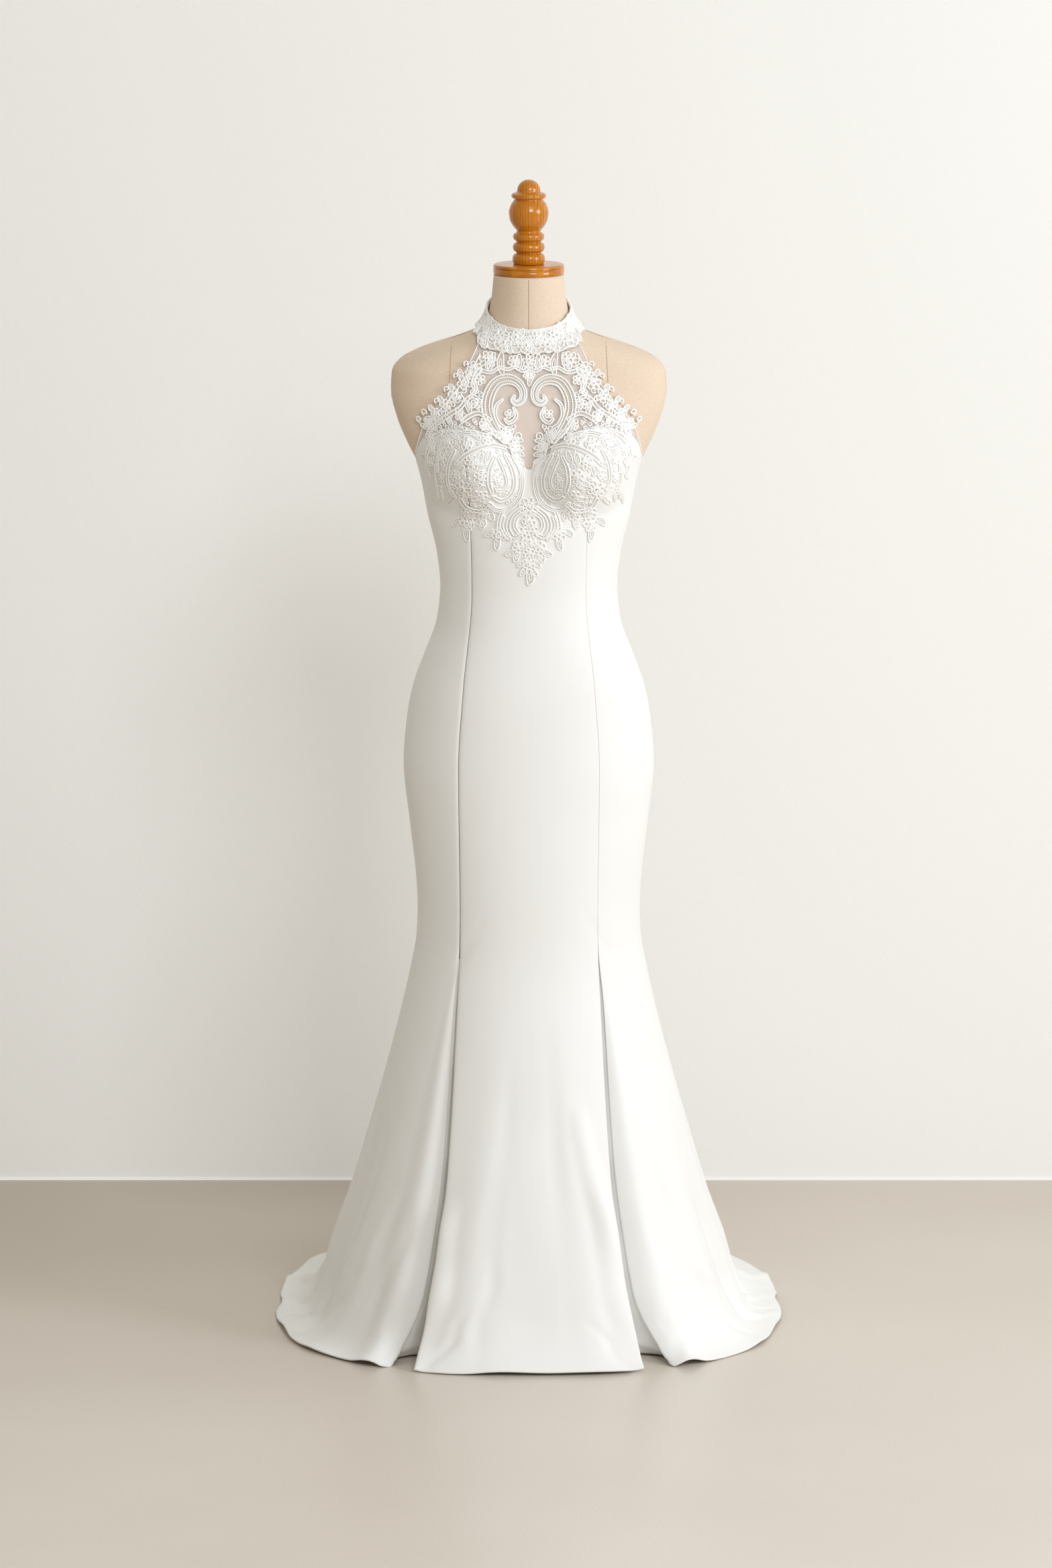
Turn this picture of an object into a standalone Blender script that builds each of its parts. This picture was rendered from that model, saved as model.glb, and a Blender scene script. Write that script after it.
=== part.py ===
"""Mermaid dress with a lace halter yoke, worn by a limbless dress form on its stand.

Metres, +Z up, the front of the dress faces -Y. The origin is on the floor, on the axis of the stand.
Every piece of cloth is a thin wall lofted through the rings of one figure, and the pieces are cut apart
along the seams of the real dress, 0.3 mm from each other.
"""
from collections import namedtuple

import bmesh
import bpy
import numpy as np
from mathutils import Vector, geometry
from mathutils.bvhtree import BVHTree

# Cloth and clearances
CLOTH = 0.0020          # thickness of the crepe walls
NET = 0.0010            # thickness of the sheer yoke
LACE = 0.0014           # thickness of the corded lace
SEAM_GAP = 0.0003       # between two pieces that are sewn together
LACE_LIFT = 0.0007      # lace above the cloth that it is sewn to
FORM_INSET = 0.0028     # the form's cover, under the outside of the dress

# Heights of the worn dress
NECK_TOP = 1.4735
WAIST = 1.046
FORM_BOTTOM = 0.700
GODET_TOP = 0.560

# Rings of the worn figure from the neck down to the hem on the floor, one row each:
# level, half width, depth in front of the centre, depth behind it, centre behind the axis, squareness.
# Level is the height, and below 0.1 it only counts down to the hem, which lies on the floor.
Ring = namedtuple("Ring", "level half_width front back centre square")
RINGS = (
    Ring(1.480, 0.0500, 0.0530, 0.0540, -0.004, 2.0),
    Ring(1.440, 0.0540, 0.0560, 0.0580, -0.002, 2.0),
    Ring(1.427, 0.0565, 0.0580, 0.0600, -0.001, 2.0),
    Ring(1.415, 0.0610, 0.0600, 0.0620, 0.000, 2.0),
    Ring(1.404, 0.0700, 0.0640, 0.0670, 0.002, 2.0),
    Ring(1.393, 0.0930, 0.0680, 0.0720, 0.003, 2.1),
    Ring(1.382, 0.1280, 0.0720, 0.0780, 0.004, 2.2),
    Ring(1.371, 0.1570, 0.0750, 0.0840, 0.005, 2.3),
    Ring(1.358, 0.1790, 0.0780, 0.0890, 0.005, 2.4),
    Ring(1.342, 0.1895, 0.0820, 0.0930, 0.005, 2.6),
    Ring(1.314, 0.1910, 0.0880, 0.0980, 0.004, 2.6),
    Ring(1.279, 0.1835, 0.0950, 0.1010, 0.002, 2.5),
    Ring(1.241, 0.1680, 0.0980, 0.0990, 0.000, 2.4),
    Ring(1.204, 0.1505, 0.0980, 0.0950, 0.000, 2.3),
    Ring(1.144, 0.1385, 0.0950, 0.0880, 0.000, 2.2),
    Ring(1.090, 0.1260, 0.0910, 0.0810, 0.000, 2.2),
    Ring(1.046, 0.1215, 0.0890, 0.0800, 0.000, 2.2),
    Ring(1.000, 0.1260, 0.0920, 0.0900, 0.000, 2.2),
    Ring(0.949, 0.1440, 0.0980, 0.1080, 0.000, 2.2),
    Ring(0.910, 0.1580, 0.1020, 0.1200, 0.000, 2.2),
    Ring(0.870, 0.1665, 0.1050, 0.1280, 0.000, 2.15),
    Ring(0.801, 0.1725, 0.1080, 0.1320, 0.000, 2.1),
    Ring(0.716, 0.1640, 0.1100, 0.1270, 0.000, 2.1),
    Ring(0.638, 0.1555, 0.1120, 0.1200, 0.000, 2.1),
    Ring(0.599, 0.1535, 0.1135, 0.1180, 0.000, 2.1),
    Ring(0.559, 0.1550, 0.1170, 0.1210, 0.001, 2.1),
    Ring(0.520, 0.1615, 0.1240, 0.1300, 0.003, 2.1),
    Ring(0.454, 0.1760, 0.1440, 0.1530, 0.008, 2.1),
    Ring(0.260, 0.2290, 0.2160, 0.2430, 0.026, 2.1),
    Ring(0.151, 0.2620, 0.2700, 0.3060, 0.046, 2.15),
    Ring(0.100, 0.2780, 0.2980, 0.3480, 0.057, 2.2),
    Ring(0.060, 0.2910, 0.3240, 0.4000, 0.068, 2.25),
    Ring(0.030, 0.3120, 0.3490, 0.4480, 0.078, 2.3),
    Ring(0.012, 0.3330, 0.3700, 0.4840, 0.085, 2.35),
    Ring(0.000, 0.3540, 0.3850, 0.5150, 0.090, 2.35),
)

# Where the skirt comes down to the floor: level, height in front, at the sides and behind.
Landing = namedtuple("Landing", "level in_front at_side behind")
LANDINGS = (
    Landing(0.100, 0.1000, 0.1000, 0.1000),
    Landing(0.060, 0.0600, 0.0560, 0.0440),
    Landing(0.030, 0.0310, 0.0130, 0.0075),
    Landing(0.012, 0.0130, 0.0040, 0.0028),
    Landing(0.000, 0.0024, 0.0024, 0.0024),
)

# The long folds of the flared skirt, on both sides: angle from the front and half width in degrees,
# how deep the hollow is at the hem (negative for a ridge), and the level where it begins.
Fold = namedtuple("Fold", "angle half_width depth begins")
FOLDS = (
    Fold(0.0, 14.0, 0.007, 0.45),
    Fold(17.0, 9.0, -0.005, 0.50),
    Fold(55.0, 11.0, -0.007, 0.56),
    Fold(72.0, 10.0, 0.012, 0.42),
    Fold(97.0, 9.0, 0.020, 0.46),
    Fold(118.0, 11.0, -0.010, 0.50),
    Fold(140.0, 10.0, 0.018, 0.50),
    Fold(160.0, 10.0, -0.010, 0.45),
    Fold(180.0, 9.0, 0.014, 0.42),
)

# The front princess seam: level, its distance from the centre front, and the width of the opened godet.
Seam = namedtuple("Seam", "level from_centre opening")
PRINCESS = (
    Seam(1.300, 0.0900, 0.0003),
    Seam(1.222, 0.0850, 0.0003),
    Seam(1.144, 0.0800, 0.0003),
    Seam(1.046, 0.0780, 0.0003),
    Seam(0.910, 0.0900, 0.0003),
    Seam(0.801, 0.0965, 0.0003),
    Seam(0.599, 0.0945, 0.0003),
    Seam(0.560, 0.0950, 0.0004),
    Seam(0.480, 0.0985, 0.0045),
    Seam(0.260, 0.1115, 0.0110),
    Seam(0.151, 0.1250, 0.0150),
    Seam(0.060, 0.1400, 0.0190),
    Seam(0.000, 0.1570, 0.0250),
)

# The upper edge of the dress: angle from the front in degrees, and height.
Edge = namedtuple("Edge", "angle height")
TOP_EDGE = (
    Edge(0.0, 1.2170),
    Edge(14.0, 1.2400),
    Edge(32.0, 1.2690),
    Edge(47.0, 1.2785),
    Edge(60.0, 1.2680),
    Edge(71.0, 1.2440),
    Edge(80.0, 1.2190),
    Edge(90.0, 1.1950),
    Edge(112.0, 1.1660),
    Edge(142.0, 1.1180),
    Edge(180.0, 1.0800),
)

# The halter's yoke: share of the way up, and half width as seen from the front.
Width = namedtuple("Width", "share half_width")
YOKE_WIDTHS = (
    Width(0.00, 0.1490),
    Width(0.25, 0.1400),
    Width(0.50, 0.1120),
    Width(0.75, 0.0870),
    Width(1.00, 0.0690),
)

# The collar, at the front, the sides and the back: angle, height of its lower and of its upper edge.
Band = namedtuple("Band", "angle lower upper")
COLLAR = (
    Band(0.0, 1.3720, 1.4040),
    Band(25.0, 1.3745, 1.4070),
    Band(45.0, 1.3820, 1.4130),
    Band(60.0, 1.3950, 1.4190),
    Band(90.0, 1.4040, 1.4290),
    Band(135.0, 1.4100, 1.4440),
    Band(180.0, 1.4140, 1.4510),
)

# The lace, as seen laid out flat on one half: distance from the centre front along the cloth and height, in
# millimetres. Scrolls are tapering bands through points (distance, height, width).
SCROLLS = (
    ((20, 1317, 4), (22, 1311, 7), (16, 1307, 9), (9, 1312, 10), (8, 1323, 11), (15, 1334, 12), (28, 1339, 14),
     (43, 1335, 15), (53, 1321, 16), (57, 1302, 16), (53, 1285, 15), (45, 1270, 12), (36, 1258, 8)),
    ((36, 1312, 4), (44, 1304, 5), (46, 1291, 5), (41, 1280, 5), (34, 1275, 5)),
    ((21, 1301, 4), (17, 1293, 5), (20, 1285, 5), (28, 1281, 5), (33, 1286, 4)),
    ((0, 1354, 5), (9, 1350, 5), (19, 1355, 5), (29, 1352, 5), (40, 1354, 5), (52, 1348, 5), (64, 1350, 6)),
    ((66, 1372, 4), (75, 1356, 4), (88, 1337, 4), (102, 1319, 4), (116, 1303, 4), (133, 1290, 4), (151, 1276, 4)),
    ((66, 1352, 6), (74, 1342, 5), (76, 1330, 5), (70, 1322, 5)),
    ((66, 1310, 5), (76, 1316, 6), (84, 1312, 6), (94, 1300, 6), (110, 1291, 6), (128, 1281, 6), (150, 1268, 6)),
    ((54, 1286, 5), (68, 1294, 6), (80, 1291, 6), (92, 1284, 6)),
    ((76, 1338, 5), (72, 1326, 5), (80, 1314, 5)),
    ((24, 1238, 5), (12, 1218, 6), (9, 1198, 7), (14, 1178, 7), (28, 1165, 7), (44, 1163, 7), (55, 1173, 6)),
    ((36, 1240, 5), (25, 1218, 6), (21, 1199, 6), (26, 1184, 6), (38, 1177, 6), (49, 1182, 5)),
    ((46, 1236, 5), (37, 1216, 5), (33, 1202, 5), (38, 1192, 5), (47, 1192, 5)),
    ((36, 1250, 5), (54, 1254, 6), (74, 1250, 6), (94, 1240, 6), (108, 1228, 5)),
    ((60, 1266, 6), (84, 1270, 7), (108, 1264, 7), (128, 1252, 7), (142, 1234, 6), (146, 1214, 5)),
    ((126, 1268, 5), (146, 1258, 6), (164, 1240, 6), (172, 1220, 5), (168, 1204, 4)),
    ((52, 1238, 5), (60, 1222, 6), (60, 1204, 6), (54, 1190, 5)),
    ((108, 1246, 5), (120, 1228, 6), (124, 1208, 6), (116, 1190, 5), (104, 1180, 5)),
    ((52, 1172, 5), (62, 1162, 6), (76, 1162, 6), (88, 1168, 6), (96, 1178, 6)),
    ((150, 1222, 5), (152, 1206, 5), (146, 1190, 5), (142, 1176, 5)),
    ((10, 1166, 5), (24, 1154, 6), (28, 1138, 6), (21, 1125, 6), (11, 1129, 5)),
    ((34, 1164, 5), (40, 1150, 5), (42, 1134, 5)),
    ((4, 1160, 5), (16, 1152, 5), (19, 1140, 5), (14, 1131, 5)),
    ((34, 1152, 5), (37, 1140, 5), (32, 1128, 5), (26, 1122, 5)),
)
# Flowers: distance, height, radius and the number of petals.
FLOWERS = (
    (0, 1363, 9, 6), (21, 1363, 8, 5), (56, 1364, 12, 7), (74, 1352, 10, 5), (88, 1334, 10, 5), (101, 1316, 10, 5),
    (114, 1302, 9, 5), (129, 1290, 9, 5), (147, 1277, 8, 5), (72, 1306, 7, 5), (34, 1263, 9, 5), (3, 1344, 5, 5), (27, 1293, 6, 4),
    (62, 1281, 7, 5), (94, 1291, 8, 5), (84, 1232, 10, 6), (72, 1212, 10, 6), (97, 1192, 14, 8), (66, 1184, 8, 5),
    (86, 1157, 9, 5), (86, 1141, 11, 6), (110, 1212, 8, 5), (134, 1232, 9, 5), (60, 1262, 8, 5), (90, 1256, 9, 5),
    (118, 1256, 9, 5), (154, 1244, 9, 5), (164, 1226, 8, 5), (138, 1206, 8, 5), (143, 1188, 8, 5), (46, 1206, 6, 5),
    (0, 1166, 14, 8), (0, 1146, 10, 6), (7, 1132, 8, 5), (41, 1128, 10, 6), (62, 1156, 9, 5), (0, 1118, 10, 6),
    (15, 1111, 8, 5), (0, 1103, 8, 5), (0, 1088, 9, 6), (20, 1250, 7, 5), (152, 1260, 8, 5), (80, 1345, 7, 5), (66, 1338, 7, 5), (30, 1268, 9, 6),
)
# Leaves: where the stem is, length, width, and the way they point in degrees, 0 outwards and -90 down.
LEAVES = (
    (37, 1374, 30, 9, -93), (13, 1372, 22, 8, -85), (47, 1374, 26, 8, -75), (0, 1350, 20, 7, -90),
    (30, 1256, 22, 7, 176), (28, 1249, 21, 7, 186), (26, 1243, 20, 7, 196), (23, 1236, 18, 6, 208),
    (18, 1230, 15, 6, 220), (40, 1264, 18, 7, 35),
    (52, 1270, 18, 8, 25), (86, 1310, 18, 7, 250), (100, 1300, 17, 7, 245), (116, 1290, 16, 7, 240),
    (134, 1280, 18, 8, 10), (150, 1272, 12, 7, 15), (105, 1323, 9, 7, 70), (91, 1343, 9, 7, 65),
    (119, 1307, 9, 7, 60), (133, 1295, 9, 7, 55), (58, 1246, 16, 7, -60), (70, 1244, 16, 7, -70),
    (96, 1226, 16, 7, -50), (104, 1232, 18, 7, -30), (84, 1196, 15, 7, 160), (80, 1180, 15, 7, 175),
    (108, 1180, 16, 7, -45), (112, 1196, 16, 7, -15), (128, 1216, 16, 7, -40), (152, 1232, 18, 7, -30),
    (170, 1232, 16, 7, -10), (158, 1212, 16, 7, -45), (136, 1186, 16, 7, -110), (146, 1182, 17, 7, -80),
    (78, 1148, 19, 8, -150), (94, 1148, 19, 8, -35), (86, 1136, 20, 9, -90), (76, 1162, 15, 8, -60),
    (41, 1124, 18, 8, -80), (34, 1132, 15, 7, -130), (48, 1134, 15, 7, -35), (54, 1162, 16, 8, -110),
    (62, 1150, 16, 8, -75), (5, 1122, 13, 6, -70), (18, 1106, 15, 8, -25), (14, 1104, 15, 8, -70),
    (5, 1100, 14, 7, -20), (4, 1092, 14, 7, -35), (4, 1082, 13, 7, -55), (0, 1080, 22, 10, -90),
    (70, 1262, 15, 7, 40), (100, 1262, 15, 7, 30), (124, 1246, 15, 7, -10), (140, 1246, 16, 7, 20),
)
# The ground that the motifs of a cup share, as an outline, and the gaps in it, shaped like leaves.
GROUND = (
    (7, 1225), (5, 1196), (10, 1178), (20, 1166), (34, 1160), (50, 1160), (60, 1166), (70, 1162), (84, 1166),
    (94, 1176), (104, 1180), (116, 1190), (124, 1202), (134, 1198), (140, 1184), (148, 1187), (153, 1204),
    (160, 1210), (167, 1206), (175, 1222), (172, 1238), (162, 1250), (158, 1262), (150, 1275), (100, 1290),
    (60, 1278), (24, 1248),
)
GAPS = (
    (18, 1222, 42, 6, -96), (30, 1213, 24, 7, -97), (49, 1234, 22, 9, -90), (60, 1198, 15, 8, -75),
    (83, 1178, 16, 9, 0), (98, 1218, 16, 9, -75), (74, 1240, 20, 9, 10), (112, 1240, 20, 9, -65),
    (132, 1222, 18, 9, -75), (156, 1234, 16, 8, -75), (72, 1262, 14, 8, 5), (102, 1254, 14, 8, -10),
)

# Bust cups: centre from the middle, centre height, reach sideways, upwards and downwards, and fullness
CUP_X = 0.0800
CUP_Z = 1.2180
CUP_SIDE = 0.0780
CUP_UP = 0.0960
CUP_DOWN = 0.0720
CUP_FULLNESS = 0.0370


def curve_through(rows, column):
    """A smooth curve through one column of a table, with no overshoot between its rows."""
    table = sorted((row[0], row[column]) for row in rows)
    at = np.array([a for a, _ in table])
    value = np.array([v for _, v in table])
    step = np.diff(at)
    slope = np.diff(value) / step
    tangent = np.zeros(len(at))
    same_way = slope[:-1] * slope[1:] > 0
    before, after = slope[:-1][same_way], slope[1:][same_way]
    tangent[1:-1][same_way] = 2 * before * after / (before + after)
    tangent[0], tangent[-1] = slope[0], slope[-1]

    def curve(where):
        x = np.clip(where, at[0], at[-1])
        i = np.clip(np.searchsorted(at, x, side="right") - 1, 0, len(at) - 2)
        h = step[i]
        t = (x - at[i]) / h
        rise = t * t * (3 - 2 * t)
        return (
            value[i] * (1 - rise)
            + value[i + 1] * rise
            + h * tangent[i] * t * (1 - t) ** 2
            - h * tangent[i + 1] * t * t * (1 - t)
        )

    return curve


RING_CURVES = [curve_through(RINGS, column) for column in range(1, 6)]
LANDING_CURVES = [curve_through(LANDINGS, column) for column in range(1, 4)]
SEAM_X = curve_through(PRINCESS, 1)
GODET_WIDTH = curve_through(PRINCESS, 2)
TOP_CURVE = curve_through(TOP_EDGE, 1)
YOKE_CURVE = curve_through(YOKE_WIDTHS, 1)
COLLAR_LOWER = curve_through(COLLAR, 1)
COLLAR_UPPER = curve_through(COLLAR, 2)


def bell(distance, reach):
    """1 at no distance, falling smoothly to 0 at reach."""
    share = np.clip(1 - (distance / reach) ** 2, 0, 1)
    return share * share


def fold_depth(angle, level):
    """How far the folds of the skirt push the cloth inwards."""
    degrees = np.abs(np.degrees(angle))
    depth = np.zeros(np.broadcast(angle, level).shape)
    for fold in FOLDS:
        down = np.clip((fold.begins - level) / fold.begins, 0, 1)
        depth = depth + fold.depth * down**1.5 * bell(degrees - fold.angle, fold.half_width)
    return depth * (1 - 0.7 * np.clip(1 - np.asarray(level) / 0.07, 0, 1) ** 1.5)


def cup_push(x, z):
    """How far the bust cups carry the cloth forwards."""
    reach = np.where(z > CUP_Z, CUP_UP, CUP_DOWN)
    away = ((np.abs(x) - CUP_X) / CUP_SIDE) ** 2 + ((z - CUP_Z) / reach) ** 2
    return CUP_FULLNESS * np.clip(1 - away, 0, 1) ** 1.6


def skin(angle, level):
    """Points on the outside of the dress, at angles from the centre front and levels of the rings."""
    angle, level = np.broadcast_arrays(np.asarray(angle, float), np.asarray(level, float))
    half_width, front, back, centre, square = (curve(level) for curve in RING_CURVES)
    side, ahead = np.sin(angle), np.cos(angle)
    depth = np.where(ahead > 0, front, back)
    radius = ((np.abs(side) / half_width) ** square + (np.abs(ahead) / depth) ** square) ** (-1 / square)
    radius = radius - fold_depth(angle, level)
    in_front, at_side, behind = (curve(level) for curve in LANDING_CURVES)
    to_front = np.clip(ahead, 0, 1) ** 1.5
    to_back = np.clip(-ahead, 0, 1) ** 1.5
    landed = at_side + (in_front - at_side) * to_front + (behind - at_side) * to_back
    z = np.where(level >= LANDINGS[0].level, level, landed)
    x = radius * side
    y = centre - radius * ahead - cup_push(x, z) * (ahead > 0)
    return np.stack([x, y, z], axis=-1)


def skin_normal(angle, level):
    """The outward direction of the skin there."""
    turn, rise = 1e-3, 5e-4
    across = skin(angle + turn, level) - skin(angle - turn, level)
    up = skin(angle, np.asarray(level) + rise) - skin(angle, np.maximum(np.asarray(level) - rise, 0))
    out = np.cross(across, up)
    return out / np.linalg.norm(out, axis=-1, keepdims=True)


def angle_at(x, level):
    """The angle from the centre front where the front of the ring is x from the middle."""
    half_width, front, _, _, square = (curve(level) for curve in RING_CURVES)
    share = np.clip(np.abs(x) / half_width, 0, 0.9999)
    return np.sign(x) * np.arctan2(np.abs(x), front * (1 - share**square) ** (1 / square))


def along_rings(level):
    """Distances from the centre front along the ring of each level, at the angles in STEPS."""
    points = skin(STEPS[None, :], np.asarray(level, float)[:, None])
    steps = np.linalg.norm(np.diff(points, axis=1), axis=-1)
    return np.concatenate([np.zeros((len(points), 1)), np.cumsum(steps, axis=1)], axis=1)


def angle_along(distance, level):
    """The angles that lie so far from the centre front along the cloth."""
    lengths = along_rings(level)
    found = [np.interp(abs(d), row, STEPS) for d, row in zip(distance, lengths)]
    return np.sign(distance) * np.array(found)


def distance_along(angle, level):
    """The distances along the cloth from the centre front to these angles."""
    lengths = along_rings(level)
    found = [np.interp(abs(a), STEPS, row) for a, row in zip(angle, lengths)]
    return np.sign(angle) * np.array(found)


def seam_angle(level, outer):
    """The angle of the front princess seam: its edge on the centre panel or on the side panel."""
    x = SEAM_X(level) + (GODET_WIDTH(level) if outer else 0.0)
    return angle_at(x, level)


STEPS = np.radians(np.linspace(0.0, 112.0, 113))
SIDE_ANGLE = np.radians(90.0)
BACK_ANGLE = np.radians(142.0)
REAR_ANGLE = np.radians(180.0)
GAP_ANGLE = SEAM_GAP / 2 / 0.15


def material(name, colour, roughness, metallic=0.0, alpha=1.0):
    made = bpy.data.materials.new(name)
    made.use_nodes = True
    shader = made.node_tree.nodes["Principled BSDF"]
    shader.inputs["Base Color"].default_value = (*colour, 1.0)
    shader.inputs["Roughness"].default_value = roughness
    shader.inputs["Metallic"].default_value = metallic
    shader.inputs["Alpha"].default_value = alpha
    return made


def add_object(name, mesh, finish, collection):
    mesh.materials.append(finish)
    made = bpy.data.objects.new(name, mesh)
    collection.objects.link(made)
    return made


def closed_loft(name, outside, inside, finish, collection):
    """A wall between two grids of points, rows down and columns across, closed round its edge."""
    rows, columns = outside.shape[:2]
    bm = bmesh.new()
    outer = [[bm.verts.new(p) for p in row] for row in outside]
    inner = [[bm.verts.new(p) for p in row] for row in inside]
    for r in range(rows - 1):
        for c in range(columns - 1):
            bm.faces.new((outer[r][c], outer[r + 1][c], outer[r + 1][c + 1], outer[r][c + 1]))
            bm.faces.new((inner[r][c], inner[r][c + 1], inner[r + 1][c + 1], inner[r + 1][c]))
    rim = [(0, c) for c in range(columns)] + [(r, columns - 1) for r in range(1, rows)]
    rim += [(rows - 1, c) for c in range(columns - 2, -1, -1)] + [(r, 0) for r in range(rows - 2, 0, -1)]
    for (r0, c0), (r1, c1) in zip(rim, rim[1:] + rim[:1]):
        bm.faces.new((outer[r0][c0], outer[r1][c1], inner[r1][c1], inner[r0][c0]))
    bmesh.ops.triangulate(bm, faces=bm.faces)
    mesh = bpy.data.meshes.new(name)
    bm.to_mesh(mesh)
    bm.free()
    return add_object(name, mesh, finish, collection)


def surface_tree(objects, lift=0.0):
    """A search tree over the faces of these objects."""
    points, faces = [], []
    for made in objects:
        first = len(points)
        points += [v.co + v.normal * lift for v in made.data.vertices]
        faces += [[first + i for i in polygon.vertices] for polygon in made.data.polygons]
    return BVHTree.FromPolygons(points, faces)


REACH = 0.008


def clear_of(points, out, faces, tree, margin, step):
    """Moves points along their directions until their faces, carried back by the margin, cut nothing."""
    points = points.copy()
    for i, (point, way) in enumerate(zip(points, out)):
        hit = tree.ray_cast(Vector(point + way * REACH), Vector(-way), REACH + margin)
        if hit[0] is not None:
            points[i] += way * (REACH + margin - hit[3])
    for _ in range(60):
        tested = BVHTree.FromPolygons([Vector(p) for p in points - out * margin], faces)
        cut = sorted({i for face, _ in tested.overlap(tree) for i in faces[face]})
        if not cut:
            break
        points[cut] += out[cut] * step
    return points


def wall(name, angle, level, thickness, finish, collection, lift=0.0):
    """A piece of cloth that lies on the skin at these angles and levels."""
    points, normals = skin(angle, level), skin_normal(angle, level)
    outside = points + normals * lift
    inside = outside - normals * thickness
    inside[..., 2] = np.maximum(inside[..., 2], 0.0003)
    return closed_loft(name, outside, inside, finish, collection)


# Columns of the centre front panel, and of each side front panel
FRONT_COLUMNS = 10
SIDE_COLUMNS = 6

# Rows of every dress panel: shares of the way from its upper edge to the waist, then levels to the hem
BODICE_SHARES = (0.0, 0.09, 0.18, 0.27, 0.37, 0.47, 0.58, 0.70, 0.84)
SKIRT_LEVELS = (
    1.046, 1.005, 0.965, 0.920, 0.870, 0.800, 0.720, 0.640, 0.580, 0.540, 0.500,
    0.430, 0.350, 0.260, 0.180, 0.115, 0.075, 0.050, 0.030, 0.015, 0.006, 0.000,
)


def panel_grid(left_angle, right_angle, columns):
    """Angles and levels of a panel's points between two seams, each a function of level."""
    share = np.linspace(0, 1, columns + 1)
    level = np.full(columns + 1, 1.2)
    for _ in range(12):
        angle = left_angle(level) * (1 - share) + right_angle(level) * share
        level = TOP_CURVE(np.abs(np.degrees(angle)))
    top = level
    angles, levels = [], []
    for down in BODICE_SHARES:
        levels.append(top + (WAIST - top) * down)
    levels += [np.full(columns + 1, level) for level in SKIRT_LEVELS]
    for level in levels:
        angles.append(left_angle(level) * (1 - share) + right_angle(level) * share)
    return np.array(angles), np.array(levels)


def build_panels(crepe, collection):
    """The seven panels of the dress, from the centre front to the centre back."""
    angle, level = panel_grid(lambda l: -inner_edge(l), inner_edge, FRONT_COLUMNS)
    made = [wall("front_centre", angle, level, CLOTH, crepe, collection)]
    halves = (
        ("side_front", outer_edge, fixed(SIDE_ANGLE - GAP_ANGLE), SIDE_COLUMNS),
        ("side_back", fixed(SIDE_ANGLE + GAP_ANGLE), fixed(BACK_ANGLE - GAP_ANGLE), 5),
        ("back", fixed(BACK_ANGLE + GAP_ANGLE), fixed(REAR_ANGLE - GAP_ANGLE), 4),
    )
    for name, near, far, columns in halves:
        angle, level = panel_grid(near, far, columns)
        made.append(wall(name + "_right", angle, level, CLOTH, crepe, collection))
        made.append(wall(name + "_left", -angle[:, ::-1], level[:, ::-1], CLOTH, crepe, collection))
    return made


def inner_edge(level):
    return seam_angle(level, False) - GAP_ANGLE


def outer_edge(level):
    return seam_angle(level, True) + GAP_ANGLE


def fixed(angle):
    return lambda level: np.full(np.shape(level), angle)


# The inset godets: level, and how far the fold goes in between the two panels
Godet = namedtuple("Godet", "level depth")
GODET = (
    Godet(0.540, 0.000),
    Godet(0.500, 0.006),
    Godet(0.465, 0.014),
    Godet(0.430, 0.020),
    Godet(0.350, 0.031),
    Godet(0.260, 0.042),
    Godet(0.180, 0.048),
    Godet(0.115, 0.052),
    Godet(0.075, 0.054),
    Godet(0.050, 0.055),
    Godet(0.030, 0.055),
)
GODET_SHARES = np.array((0.0, 0.15, 0.28, 0.40, 0.5, 0.60, 0.72, 0.85, 1.0))
GODET_LAP = 0.0060
GODET_CLEAR = 0.0014


def godet_path(level, depth):
    """The cloth of a godet at one level: behind the edge of one panel, inwards, and out to the other."""
    near, far = float(seam_angle(level, False)), float(seam_angle(level, True))
    edges = skin(np.array([near, far]), level)
    width = np.linalg.norm(edges[1] - edges[0])
    along = -GODET_LAP + (width + 2 * GODET_LAP) * GODET_SHARES
    share = np.clip(along / width, 0, 1)
    beyond = along - width * share
    angle = near + (far - near) * share + beyond / np.linalg.norm(edges[0][:2])
    points = skin(angle, level) - skin_normal(angle, level) * (CLOTH + GODET_CLEAR)
    middle = edges.mean(axis=0)
    inwards = np.array([-middle[0], -middle[1], 0.0]) / np.linalg.norm(middle[:2])
    return points + inwards * (depth * np.sin(np.pi * share) ** 0.6)[:, None]


def thicken(path, thickness):
    """The path moved sideways in plan, to the left of its direction."""
    step = np.diff(path[:, :2], axis=0)
    step /= np.linalg.norm(step, axis=1, keepdims=True)
    before = np.concatenate([step[:1], step])
    after = np.concatenate([step, step[-1:]])
    side = before + after
    side /= np.linalg.norm(side, axis=1, keepdims=True)
    stretch = np.clip(1 / np.maximum(np.sum(side * after, axis=1), 0.2), 1, 1.5)
    moved = path.copy()
    moved[:, 0] -= side[:, 1] * thickness * stretch
    moved[:, 1] += side[:, 0] * thickness * stretch
    return moved


def build_godets(crepe, collection):
    outside = [godet_path(row.level, row.depth) for row in GODET]
    outside.append(outside[-1].copy())
    outside[-1][:, 2] = 0.0006
    inside = np.array([thicken(path, CLOTH) for path in outside])
    outside = np.array(outside)
    right = closed_loft("godet_right", outside, inside, crepe, collection)
    flip = np.array([-1, 1, 1])
    left = closed_loft("godet_left", (outside * flip)[:, ::-1], (inside * flip)[:, ::-1], crepe, collection)
    return [right, left]


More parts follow.
